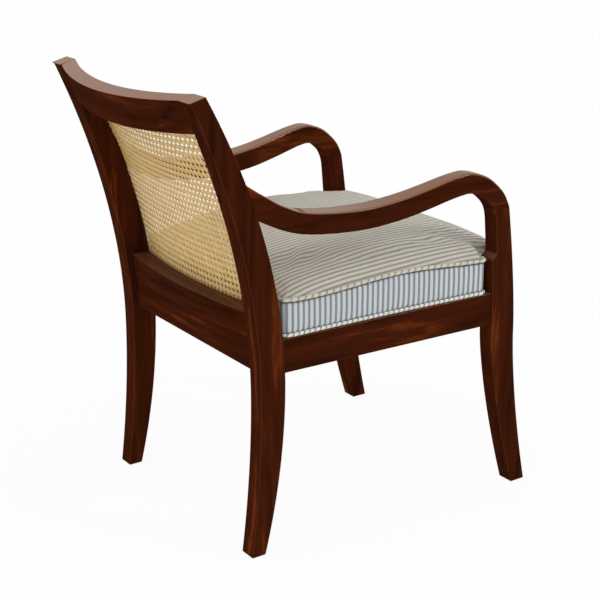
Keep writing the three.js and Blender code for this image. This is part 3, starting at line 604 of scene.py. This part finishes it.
# Stations of the arm's centre line: a share of the run from post to leg, a share of the rise above the
# dip, and how far the depth there has gone from the arm's thickness to the depth of the nearer end
arm_root = post_front(arm_dip_height + arm_root_rise)
arm_end = leg_front(arm_joint_height) + arm_joint_depth / 2
arm_run = arm_root - arm_end
arm_root_stations = [
    (-0.05, 1.36, 1), (0.009, 1, 0.6), (0.087, 0.56, 0.2), (0.167, 0.24, 0), (0.28, 0.06, 0), (0.41, 0, 0),
]
arm_crown_stations = [
    (0.5, 0.075, 0), (0.588, 0.25, 0), (0.678, 0.53, 0), (0.767, 0.85, 0), (0.813, 0.98, 0), (0.854, 1.03, 0),
    (0.912, 0.78, 0.4), (0.956, 0.29, 0.6), (0.986, -0.2, 0.8),
]
arm_points, arm_depths = [], []
for stations, rise, end_depth in (
    (arm_root_stations, arm_root_rise, arm_root_thickness),
    (arm_crown_stations, arm_crown_rise, arm_joint_depth),
):
    arm_points += [Vector((arm_root - arm_run * s, arm_dip_height + rise * r)) for s, r, _ in stations]
    arm_depths += [mix(arm_thickness, end_depth, gone) for _, _, gone in stations]
arm_points.append(Vector((arm_end, arm_joint_height)))
arm_depths.append(arm_joint_depth)


def smooth_line(points, t):
    """A curve through a list of points that doesn't overshoot; t goes evenly over the points from 0 to 1."""
    place = clamp(t) * (len(points) - 1)
    slot = min(len(points) - 2, int(place))
    row = [2 * points[0] - points[1], *points, 2 * points[-1] - points[-2]][slot:slot + 4]
    knots = [0.0]
    for start, end in zip(row, row[1:]):
        knots.append(knots[-1] + (end - start).length ** 0.5)
    at = mix(knots[1], knots[2], place - slot)
    for spans in (((0, 1), (1, 2), (2, 3)), ((0, 2), (1, 3)), ((1, 2),)):
        reached = [(at - knots[a]) / (knots[b] - knots[a]) for a, b in spans]
        row = [row[i].lerp(row[i + 1], share) for i, share in enumerate(reached)]
    return row[0]


def arm_edges(t):
    """Upper and lower edge of the arm in side view, as (y, z), at a share of its length."""
    step = 0.002
    ahead = (smooth_line(arm_points, t + step) - smooth_line(arm_points, t - step)).normalized()
    settle = clamp((t - arm_settle_share) / (1 - arm_settle_share))
    ahead = ahead.lerp(Vector((0, -1)), settle).normalized()
    place = t * (len(arm_depths) - 1)
    slot = min(len(arm_depths) - 2, int(place))
    reach = Vector((ahead.y, -ahead.x)) * mix(arm_depths[slot], arm_depths[slot + 1], ease(place - slot)) / 2
    centre = smooth_line(arm_points, t)
    return centre + reach, centre - reach


def share_at_post(edge):
    """Share of the arm's length at which one of its two edges leaves the front face of the post."""
    inside, outside = 0.0, 0.3
    for _ in range(20):
        middle = (inside + outside) / 2
        y, z = arm_edges(middle)[edge]
        if y < post_front(z) - joint_gap:
            outside = middle
        else:
            inside = middle
    return outside


def rounded_section(half_width, half_depth, low_radius, high_radius, facets=5):
    """Corners of a rounded rectangle as (across, up), anticlockwise from its lower left corner."""
    section = []
    for k, (a, b, radius) in enumerate((
        (-1, -1, low_radius), (1, -1, low_radius), (1, 1, high_radius), (-1, 1, high_radius),
    )):
        for share in shares(facets):
            angle = math.pi * (1 + (k + share) / 2)
            centre = (a * (half_width - radius), b * (half_depth - radius))
            section.append((centre[0] + radius * math.cos(angle), centre[1] + radius * math.sin(angle)))
    return section


def arm(side, tag, material):
    starts = [share_at_post(0), share_at_post(1)]
    rings = []
    for share in shares(110):
        top = arm_edges(mix(starts[0], 1, share))[0]
        bottom = arm_edges(mix(starts[1], 1, share))[1]
        if share > bend_start_share:
            bottom.x = bend_inside(bottom.y, bottom.x)
        centre, up = (top + bottom) / 2, (top - bottom).normalized()
        along = clamp((arm_root - centre.x) / arm_run)
        outer = mix(back_half, front_half, along)
        swell_turn = math.pi * min(1, along / arm_swell_end_share) ** arm_swell_lead
        ends = mix(back_half - post_inner, front_half - leg_inner, along)
        width = mix(ends, arm_waist_width, max(0, math.sin(swell_turn)) ** arm_swell_power)
        fade = ease(clamp((share - arm_fade_share) / (1 - arm_fade_share)))
        top_radius = mix(arm_top_rounding, arris, fade)
        section = rounded_section(width / 2, (top - bottom).length / 2, arris, top_radius)
        rings.append(on_side([
            Vector((outer - width / 2 + across, centre.x + up.x * rise, centre.y + up.y * rise))
            for across, rise in section
        ], side))
    bm = bmesh.new()
    loft(bm, rings)
    finish_timber(bm, "arm_timber_" + tag, material, "arm_" + tag)


def bowed_rail(name, node, section, corners, level, material):
    """Carries a side section from post to post along the bow; corners are the numbers of its four arrises."""
    reach = post_inner - joint_gap
    rings = []
    for share in shares(60):
        x = mix(-reach, reach, share)
        anchor = back_face(x, level, 0)
        rings.append([
            Vector((x, y + anchor.y - post_front(level), z + anchor.z - level)) for y, z in section
        ])
    bm = bmesh.new()
    rails, _ = loft(bm, rings)
    round_edges(bm, sum((rails[corner] for corner in corners), []), arris)
    finish_timber(bm, name, material, node)


def crest(material):
    back_top = chair_height - post_top_slope_share * post_depth_top
    heights = [chair_height - crest_face_height * s for s in shares(4)]
    front = [(post_front(z), z) for z in heights]
    heights = [back_top - crest_face_height * (1 - s) for s in shares(4)]
    section = front + [(post_back(z), z) for z in heights]
    bowed_rail("crest_timber", "crest_rail", section, (0, 4, 5, 9), crest_front_bottom, material)


def cane_rail(material):
    heights = [cane_rail_top - cane_rail_height * s for s in shares(2)]
    front = [(post_front(z), z) for z in heights]
    section = front + [(post_back(z) - back_rail_setback, z) for z in reversed(heights)]
    bowed_rail("cane_rail_timber", "cane_rail", section, (0, 2, 3, 5), cane_rail_top, material)


def cross_rail(name, node, half, front, back, material):
    top = seat_z(front)
    bottom = top - seat_rail_height
    reach = half - joint_gap
    rings = [
        [Vector((x, y, z)) for y, z in ((front, top), (back, top), (back, bottom), (front, bottom))]
        for x in (-reach, 0, reach)
    ]
    bm = bmesh.new()
    rails, _ = loft(bm, rings)
    round_edges(bm, sum(rails, []), arris)
    finish_timber(bm, name, material, node)


def side_rail(side, tag, material):
    rear_top, front_top = seat_z(rail_start), seat_z(rail_end)
    rear_low, front_low = rear_top - seat_rail_height, front_top - seat_rail_height
    rings = []
    for share in shares(12):
        upper = mix(post_front(rear_top) - joint_gap, leg_back(front_top) + joint_gap, share)
        lower = mix(post_front(rear_low) - joint_gap, leg_back(front_low) + joint_gap, share)
        low_z, high_z = seat_z(lower) - seat_rail_height, seat_z(upper)
        corners = ((lower, low_z, 1), (lower, low_z, 0), (upper, high_z, 0), (upper, high_z, 1))
        points = [Vector((rail_outer(y) - seat_rail_thickness * inner, y, z)) for y, z, inner in corners]
        rings.append(on_side(points, side))
    bm = bmesh.new()
    rails, _ = loft(bm, rings)
    round_edges(bm, sum(rails, []), arris)
    finish_timber(bm, "side_rail_timber_" + tag, material, "seat_rail_" + tag)


# Woven cane
def cane_strip(bm, start, end, width, lift, phase, edge_shade):
    """A flat strand from start to end that waves once in every cell; its edges are darkened with painted
    shade, up to the given share.
    """
    run = end - start
    along = run.normalized()
    turn = Matrix(((along.x, -along.y, 0, 0), (along.y, along.x, 0, 0), (0, 0, 1, 0), (0, 0, 0, 1)))
    middle = Matrix.Translation(((start.x + end.x) / 2, (start.y + end.y) / 2, 0))
    size = Matrix.Diagonal((run.length / 2, width / 2, 1, 1))
    is_slanting = 0.1 < abs(along.x) < 0.99
    cell = cane_pitch_across if abs(along.x) > abs(along.y) else cane_pitch_up
    if is_slanting:
        cell = math.hypot(cane_pitch_across, cane_pitch_up)
    count = max(2, round(strand_cuts * run.length / cell))
    made = bmesh.ops.create_grid(bm, x_segments=count, y_segments=1, size=1, matrix=middle @ turn @ size)
    across = bm.verts.layers.float["across"]
    for vert in made["verts"]:
        from_start = vert.co.xy - start
        travelled = from_start.dot(along)
        vert.co.z = lift + strand_wave * math.cos(2 * math.pi * travelled / cell + phase)
        vert[across] = math.copysign(edge_shade, along.cross(from_start))


def new_cane():
    bm = bmesh.new()
    bm.verts.layers.float.new("across")
    return bm


def stretch_cane(bm, name, material):
    """Gives flat strands their thickness and lays them along the bowed front of the back."""
    bmesh.ops.solidify(bm, geom=bm.faces[:], thickness=strand_thickness)
    bmesh.ops.recalc_face_normals(bm, faces=bm.faces[:])
    for vert in bm.verts:
        share = clamp((vert.co.y - cane_rail_top) / (crest_front_bottom - cane_rail_top))
        pulled_flat = cane_flattening * math.sin(math.pi * share) * bow_share(vert.co.x)
        vert.co = back_face(vert.co.x, vert.co.y, vert.co.z - cane_depth - pulled_flat)
    finish_piece(bm, name, material, "cane_panel", sharp_angle=60)


def cane_weave(material):
    """Six-way cane: upright and level pairs of strands, and slanting binders that cross on the pairs."""
    half_width = post_inner + cane_lap - cane_margin
    low = cane_rail_top - cane_lap + cane_margin
    high = crest_front_bottom + cane_lap - cane_margin
    middle, half_height = (low + high) / 2, (high - low) / 2
    columns = int(half_width / cane_pitch_across)
    rows = int(half_height / cane_pitch_up)
    bm = new_cane()
    for i in range(-columns, columns + 1):
        for k in (-1, 1):
            x = i * cane_pitch_across + k * strand_apart
            start, end = Vector((x, low)), Vector((x, high))
            cane_strip(bm, start, end, strand_width, 0, math.pi * (i + (k + 1) / 2), 0.75)
    for j in range(-rows, rows + 1):
        for k in (-1, 1):
            h = middle + j * cane_pitch_up + k * strand_apart
            start, end = Vector((-half_width, h)), Vector((half_width, h))
            cane_strip(bm, start, end, strand_width, strand_thickness / 2, math.pi * (j + (k + 1) / 2), 0.65)
    stretch_cane(bm, "cane_pairs", material)
    bm = new_cane()
    slope = cane_pitch_up / cane_pitch_across
    for slant in (-1, 1):
        for i in range(-columns - rows, columns + rows + 1):
            centre = (i + 0.5) * cane_pitch_across
            left = max(-half_width, centre - half_height / slope)
            right = min(half_width, centre + half_height / slope)
            if right - left > cane_pitch_across:
                ends = [Vector((x, middle + slant * slope * (x - centre))) for x in (left, right)]
                cane_strip(bm, *ends, binder_width, slant * binder_lift, 0, 1)
    stretch_cane(bm, "cane_binders", material)


# Cushion: its outline in plan, its two seams and its crown
cushion_rear = post_front(seat_rail_top) - cushion_back_gap - cushion_edge_inset
cushion_front = front_rail_front - cushion_front_overhang + cushion_edge_inset
cushion_middle = (cushion_rear + cushion_front) / 2
cushion_half_depth = (cushion_rear - cushion_front) / 2


def cushion_side(y):
    return rail_outer(y) - cushion_edge_inset


def cushion_outline():
    """Plan of the cushion's edge, clockwise from the middle of its back, with points some 6 mm apart."""
    notch = leg_back(seat_rail_top) + cushion_leg_gap
    notch_x = leg_inner - notch_gap
    half = []

    def corner(x, y, into, out, radius):
        start = Vector((x, y)) - Vector(into) * radius
        end = Vector((x, y)) + Vector(out) * radius
        half.extend(start * (1 - s) ** 2 + Vector((x, y)) * 2 * s * (1 - s) + end * s ** 2 for s in shares(8))

    for s in shares(40):
        x = mix(0, cushion_side(cushion_rear) - cushion_corner_lead, s)
        half.append(Vector((x, cushion_rear + cane_rail_bow * bow_share(x))))
    corner(cushion_side(cushion_rear), cushion_rear, (1, 0), (0, -1), cushion_corner)
    for s in shares(70)[1:-1]:
        y = mix(cushion_rear - cushion_corner, notch + cushion_corner, s)
        half.append(Vector((cushion_side(y) - cushion_draw_in * math.sin(math.pi * s), y)))
    corner(cushion_side(notch), notch, (0, -1), (-1, 0), cushion_corner)
    corner(notch_x, notch, (-1, 0), (0, -1), notch_corner)
    for s in shares(10)[1:-1]:
        half.append(Vector((notch_x, mix(notch - notch_corner, cushion_front + cushion_corner, s))))
    corner(notch_x, cushion_front, (0, -1), (-1, 0), cushion_corner)
    for s in shares(36)[1:]:
        x = mix(notch_x - cushion_corner, 0, s)
        half.append(Vector((x, cushion_front + cushion_draw_in * math.sin(math.pi * s / 2))))
    return half + [Vector((-p.x, p.y)) for p in reversed(half[1:-1])]


def offset_outline(line, distance):
    moved = []
    for i, point in enumerate(line):
        along = (line[(i + 1) % len(line)] - line[i - 1]).normalized()
        moved.append(point + Vector((-along.y, along.x)) * distance)
    return moved


outline = cushion_outline()
outline_lengths = [0.0]
for last_point, next_point in zip(outline, outline[1:]):
    outline_lengths.append(outline_lengths[-1] + (next_point - last_point).length)
outline_total = outline_lengths[-1] + (outline[0] - outline[-1]).length
outline_tree = kdtree.KDTree(len(outline))
for place, outline_point in enumerate(outline):
    outline_tree.insert(outline_point.to_3d(), place)
outline_tree.balance()
welt_reach = (welt_radius + joint_gap) / math.sqrt(2) - welt_seam / 2


def lower_seam(y):
    """Height of the lower seam above the seat rails, which is the same at every y."""
    return joint_gap + welt_radius + welt_reach


def upper_seam(y):
    """Height of the upper seam above the seat rails, which dips and rises from front to back."""
    half_wave = 2 * cushion_wave_share * cushion_half_depth
    return cushion_boxing + cushion_seam_wave * math.cos(math.pi * (y - cushion_middle) / half_wave)


def crown_height(x, y, share):
    """Height of the crown above the seat rails; share is 1 at the seam and 0 in the middle."""
    edge = clamp((1 - share) / cushion_edge_share)
    aside, ahead = min(1, abs(x) / cushion_side(y)), min(1, abs(y - cushion_middle) / cushion_half_depth)
    droop = 1 - cushion_corner_droop * (aside * ahead) ** cushion_droop_power
    edge_rise = cushion_edge_rise * droop * (1 - (1 - edge) ** 2) ** cushion_edge_power
    across, along = 1 - aside ** cushion_dome_power, 1 - ahead ** cushion_dome_power
    dome = cushion_dome * across * along * (1 - share ** cushion_seam_power)
    return cushion_boxing + (upper_seam(y) - cushion_boxing) * share ** 2 + edge_rise + dome


def fullness(x, y):
    side = (abs(x) / cushion_side(y)) ** cushion_seam_power
    depth = (abs(y - cushion_middle) / cushion_half_depth) ** cushion_seam_power
    return (side + depth) ** (1 / cushion_seam_power)


def crown_ring(seam, share):
    fade = ease(clamp((1 - share) / cushion_notch_fade_share))
    ring = []
    for point in seam:
        scale = share * mix(1, 1 / fullness(point.x, point.y), fade)
        x, y = point.x * scale, mix(cushion_middle, point.y, scale)
        ring.append(Vector((x, y, seat_z(y) + crown_height(x, y, share))))
    return ring


def cushion_form(material):
    seam = offset_outline(outline, -welt_seam)
    rings = []
    for share in (0.4, 0.9):
        flat = [Vector((p.x * share, mix(cushion_middle, p.y, share))) for p in seam]
        rings.append([Vector((p.x, p.y, seat_z(p.y) + joint_gap)) for p in flat])
    rings.append([Vector((p.x, p.y, seat_z(p.y) + lower_seam(p.y))) for p in seam])
    wall = offset_outline(outline, cushion_wall_fullness)
    for share in shares(4):
        lift = [mix(lower_seam(p.y) + welt_seam, upper_seam(p.y) - welt_seam, share) for p in wall]
        rings.append([Vector((p.x, p.y, seat_z(p.y) + height)) for p, height in zip(wall, lift)])
    crown_shares = (
        1, 0.994, 0.985, 0.973, 0.957, 0.937, 0.91, 0.88, 0.84, 0.78, 0.7, 0.6, 0.48, 0.34, 0.2, 0.08,
    )
    rings += [crown_ring(seam, share) for share in crown_shares]
    bm = bmesh.new()
    loft(bm, rings)
    bmesh.ops.triangulate(bm, faces=[f for f in bm.faces if len(f.verts) > 4])
    return finish_piece(bm, "seat_pad", material, "seat_cushion", sharp_angle=180)


def bake_shape(piece):
    """Makes a piece's modifiers part of its mesh."""
    graph = bpy.context.evaluated_depsgraph_get()
    shaped = bpy.data.meshes.new_from_object(piece.evaluated_get(graph))
    piece.modifiers.clear()
    piece.data = shaped
    for face in shaped.polygons:
        face.use_smooth = True


def hold_cover(piece):
    """Weighs the points that can't swell: all that is under the lower seam, and what is near a seam."""
    held = piece.vertex_groups.new(name="held")
    for vertex in piece.data.vertices:
        plan = Vector((vertex.co.x, vertex.co.y - frame_shift, 0))
        height = vertex.co.z - seat_z(plan.y)
        _, _, far = outline_tree.find(plan)
        seam_gap = min(abs(height - lower_seam(plan.y)), abs(height - upper_seam(plan.y)))
        at_seam = clamp(2 - math.hypot(seam_gap, far) / seam_hold)
        weight = 1.0 if height < lower_seam(plan.y) else at_seam
        if weight > 0:
            held.add([vertex.index], weight, "REPLACE")


def swell_cover(piece):
    """Lets the filling press on the cover as cloth, and keeps each point within a limit of where it was."""
    start = [v.co.copy() for v in piece.data.vertices]
    hold_cover(piece)
    cover = piece.modifiers.new("cover", "CLOTH")
    cover.settings.quality = 5
    cover.settings.mass = 0.3
    cover.settings.tension_stiffness = 18
    cover.settings.compression_stiffness = 18
    cover.settings.shear_stiffness = 8
    cover.settings.bending_stiffness = 1.2
    cover.settings.use_pressure = True
    cover.settings.uniform_pressure_force = 4
    cover.settings.vertex_group_mass = "held"
    cover.settings.effector_weights.gravity = 0
    cover.collision_settings.use_collision = False
    cover.point_cache.frame_start = 1
    cover.point_cache.frame_end = cloth_steps
    for step in range(1, cloth_steps + 1):
        bpy.context.scene.frame_set(step)
    bake_shape(piece)
    bpy.context.scene.frame_set(1)
    for vertex, origin in zip(piece.data.vertices, start):
        move = vertex.co - origin
        if move.length > swell_limit:
            vertex.co = origin + move.normalized() * swell_limit


def puff_cushion(piece):
    """Gives the cover an even mesh, its swell, a finer surface and its map."""
    grain = piece.modifiers.new("even_cloth", "REMESH")
    grain.mode = "VOXEL"
    grain.voxel_size = cloth_grain
    bake_shape(piece)
    swell_cover(piece)
    finer = piece.modifiers.new("finer", "SUBSURF")
    finer.levels = 1
    finer.render_levels = 1
    bake_shape(piece)
    map_cloth(piece)


def cloth_layers(mesh):
    """The map of the cloth, and how far each corner takes the crown's painted warm light and the painted
    shadow under the upper seam.
    """
    mesh.uv_layers.new(name="cloth")
    mesh.attributes.new("crown", "FLOAT", "CORNER")
    mesh.attributes.new("crease", "FLOAT", "CORNER")
    return mesh.uv_layers["cloth"], mesh.attributes["crown"], mesh.attributes["crease"]


def crown_map(place, height):
    """Where a point of the crown lies on its flat cloth: in plan, plus what the cloth drops at the edge."""
    level = crown_height(place.x, place.y, 0)
    down = max(0, level - height - crown_flat_band)
    sideways, endways = place.x / cushion_side(place.y), (place.y - cushion_middle) / cushion_half_depth
    edge_pull = Vector((sideways ** 3, endways ** 3)).normalized() * down
    return place.x + edge_pull.x, place.y + edge_pull.y


def map_cloth(piece):
    """Maps the cover: stripes run from front to back over the crown, and upright round the sides."""
    mesh = piece.data
    layer, crown, crease = cloth_layers(mesh)
    for face in mesh.polygons:
        middle_y = face.center.y - frame_shift
        height = face.center.z - seat_z(middle_y)
        lowest, highest = lower_seam(middle_y) - side_below_seam, upper_seam(middle_y) - side_short_of_seam
        is_side = lowest < height < highest
        base = None
        for corner in face.loop_indices:
            co = mesh.vertices[mesh.loops[corner].vertex_index].co
            plan = Vector((co.x, co.y - frame_shift, 0))
            # Mask of the crown's painted warm light: 1 on the crown, 0 on the sides
            crown.data[corner].value = 0 if is_side else 1
            if not is_side:
                layer.data[corner].uv = crown_map(plan, co.z - seat_z(plan.y))
                continue
            base = place_round_outline(plan, base)
            # Painted shadow under the upper seam, full just below it and fading out further down
            drop = co.z - seat_z(plan.y) - upper_seam(plan.y)
            crease.data[corner].value = clamp(1 + (drop + seam_shadow_reach) / seam_shadow_blur)
            layer.data[corner].uv = (base, co.z)


def place_round_outline(plan, beside=None):
    """How far round the cushion's outline a point lies, on the same side of the start as its neighbour."""
    _, nearest, _ = outline_tree.find(plan)
    ahead = outline[(nearest + 1) % len(outline)] - outline[nearest - 1]
    place = outline_lengths[nearest] + (plan.xy - outline[nearest]).dot(ahead.normalized())
    if beside is not None and place - beside > outline_total / 2:
        place -= outline_total
    if beside is not None and beside - place > outline_total / 2:
        place += outline_total
    return place


def welt(name, node, seam, down, tone, stretch, material):
    """Piping along one of the seams; its cover is cut on the slant, which stretches its stripes."""
    path = offset_outline(outline, welt_reach)
    sides = 12
    rings = []
    for i, point in enumerate(path):
        along = (path[(i + 1) % len(path)] - path[i - 1]).normalized()
        out = Vector((-along.y, along.x))
        middle = seat_z(point.y) + seam(point.y) - down * welt_reach
        ring = []
        for k in range(sides):
            angle = 2 * math.pi * k / sides
            flat = point + out * (welt_radius * math.cos(angle))
            ring.append(Vector((flat.x, flat.y, middle + welt_radius * math.sin(angle))))
        rings.append(ring)
    bm = bmesh.new()
    loft(bm, rings, is_loop=True)
    piece = finish_piece(bm, name, material, node, sharp_angle=80)
    mesh = piece.data
    layer, crown, _ = cloth_layers(mesh)
    for face in mesh.polygons:
        base = None
        for corner in face.loop_indices:
            co = mesh.vertices[mesh.loops[corner].vertex_index].co
            plan = Vector((co.x, co.y - frame_shift, 0))
            base = place_round_outline(plan, base)
            rise = co.z - seat_z(plan.y) - seam(plan.y)
            layer.data[corner].uv = (base / stretch + welt_slant * rise, rise)
            # The upper welt takes the crown's painted warm light, the lower welt the sides' painted cool
            # light
            crown.data[corner].value = tone


# Studio
camera_place = Vector((-2161.97, 1504.19, 1264.15)) * MM
camera_azimuth = 4.11223699
camera_elevation = 0.327182033
focal_pixels = 1382.66
image_pixels = 600


def photo_camera():
    camera = bpy.data.cameras.new("photo_camera")
    camera.sensor_width = 36
    camera.lens = focal_pixels * camera.sensor_width / image_pixels
    camera.clip_end = 60
    eye = bpy.data.objects.new("photo_camera", camera)
    bpy.context.scene.collection.objects.link(eye)
    a, e = camera_azimuth, camera_elevation
    ahead = Vector((-math.sin(a) * math.cos(e), math.cos(a) * math.cos(e), -math.sin(e)))
    eye.location = camera_place + Vector((0, frame_shift, 0))
    eye.rotation_euler = ahead.to_track_quat("-Z", "Y").to_euler()
    bpy.context.scene.camera = eye


def link_in(tree, kind, inputs, **settings):
    made = tree.nodes.new(kind)
    for key, value in settings.items():
        setattr(made, key, value)
    for key, value in inputs.items():
        if isinstance(value, bpy.types.NodeSocket):
            tree.links.new(value, made.inputs[key])
        else:
            made.inputs[key].default_value = value
    return made.outputs


def seen_directly(tree):
    """1 for the rays that show the background: from the camera, off a gloss or through glass."""
    rays = link_in(tree, "ShaderNodeLightPath", {})
    seen = rays["Is Camera Ray"]
    for kind in ("Is Glossy Ray", "Is Transmission Ray"):
        seen = link_in(tree, "ShaderNodeMath", {0: seen, 1: rays[kind]}, operation="MAXIMUM")[0]
    return seen


def studio_floor(white_share):
    bm = bmesh.new()
    bmesh.ops.create_grid(bm, x_segments=2, y_segments=2, size=14)
    mesh = bpy.data.meshes.new("studio_floor")
    bm.to_mesh(mesh)
    bm.free()
    floor = bpy.data.objects.new("studio_floor", mesh)
    bpy.context.scene.collection.objects.link(floor)
    paper = bpy.data.materials.new("floor_paper")
    paper.use_nodes = True
    tree = paper.node_tree
    tree.nodes.clear()
    matt = link_in(tree, "ShaderNodeBsdfDiffuse", {"Color": (0.9, 0.9, 0.9, 1)})
    glow = link_in(tree, "ShaderNodeEmission", {"Strength": 1.0})
    share = link_in(tree, "ShaderNodeMath", {0: seen_directly(tree), 1: white_share}, operation="MULTIPLY")
    blend = link_in(tree, "ShaderNodeMixShader", {0: share[0], 1: matt[0], 2: glow[0]})
    link_in(tree, "ShaderNodeOutputMaterial", {"Surface": blend[0]})
    mesh.materials.append(paper)


def white_world(fill):
    world = bpy.data.worlds.new("studio_air")
    bpy.context.scene.world = world
    world.use_nodes = True
    tree = world.node_tree
    tree.nodes.clear()
    strength = link_in(
        tree, "ShaderNodeMath", {0: seen_directly(tree), 1: 1 - fill, 2: fill}, operation="MULTIPLY_ADD",
    )
    sky = link_in(tree, "ShaderNodeBackground", {"Color": (1, 1, 1, 1), "Strength": strength[0]})
    link_in(tree, "ShaderNodeOutputWorld", {"Surface": sky[0]})


def far_softbox(name, towards, strength, breadth):
    """A lamp so far off that its light is even; breadth is the angle in degrees that it fills."""
    light = bpy.data.lights.new(name, "SUN")
    light.energy = strength
    light.angle = math.radians(breadth)
    lamp = bpy.data.objects.new(name, light)
    bpy.context.scene.collection.objects.link(lamp)
    lamp.rotation_euler = (-Vector(towards)).to_track_quat("-Z", "Y").to_euler()


bpy.context.scene.view_settings.view_transform = "Standard"
photo_camera()
white_world(fill=0.62)
studio_floor(white_share=0.93)
far_softbox("right_softbox", (-0.65, -0.5, 0.57), strength=0.6, breadth=9)
far_softbox("rear_softbox", (-0.3, 0.8, 0.5), strength=1.05, breadth=90)
far_softbox("overhead_softbox", (0.2, -0.1, 1), strength=0.4, breadth=140)

# Pieces
for side, tag in ((1, "left"), (-1, "right")):
    rear_post(side, tag, mahogany("post_mahogany_" + tag, "z", 3.1 + side))
    front_leg(side, tag, mahogany("leg_mahogany_" + tag, "z", 7.4 + side, gloss_and_sheen_share=0.25))
    arm(side, tag, mahogany("arm_mahogany_" + tag, "y", 11.9 + side, gloss_and_sheen_share=0.85))
    side_rail(side, tag, mahogany("side_rail_mahogany_" + tag, "y", 15.2 + side, gloss_and_sheen_share=0.3))
crest(mahogany("crest_mahogany", "x", 21.3))
cane_rail(mahogany("cane_rail_mahogany", "x", 26.4, gloss_and_sheen_share=0.25))
rail_wood = mahogany("seat_rail_mahogany", "x", 27.5, gloss_and_sheen_share=0.3)
back_rail_front = back_rail_back - seat_rail_thickness
cross_rail("back_rail_timber", "seat_rail_back", post_inner, back_rail_front, back_rail_back, rail_wood)
front_rail_back = front_rail_front + seat_rail_thickness
cross_rail("front_rail_timber", "seat_rail_front", leg_inner, front_rail_front, front_rail_back, rail_wood)
cane_weave(cane_finish())
# Ground colours of the cloth: a bluer one for the sides and a warmer one for the crown, both painted light
striped = ticking("striped_ticking", 0.38, 0.74, srgb(200, 205, 206), srgb(202, 198, 185))
puff_cushion(cushion_form(striped))
piping = ticking("welt_ticking", 0.55, 0.9, srgb(224, 223, 216), srgb(208, 203, 186))
welt("welt_upper", "seat_welt_top", upper_seam, down=-1, tone=1, stretch=1.3, material=piping)
welt("welt_lower", "seat_welt_bottom", lower_seam, down=1, tone=0, stretch=1, material=piping)

node_finishes = {
    "reed": plain_wood("reed_spline", "z", (srgb(168, 132, 84), srgb(206, 172, 118))),
    "beech": plain_wood("beech_block", "x", (srgb(178, 138, 96), srgb(210, 172, 126))),
    "plywood": plain_wood("seat_plywood", "x", (srgb(170, 134, 92), srgb(204, 170, 124))),
    "steel": screw_steel(),
}
for entry in frame["record"]["subparts"]:
    if entry["material_slot"] in node_finishes:
        frame["nodes"][entry["node"]].data.materials[0] = node_finishes[entry["material_slot"]]
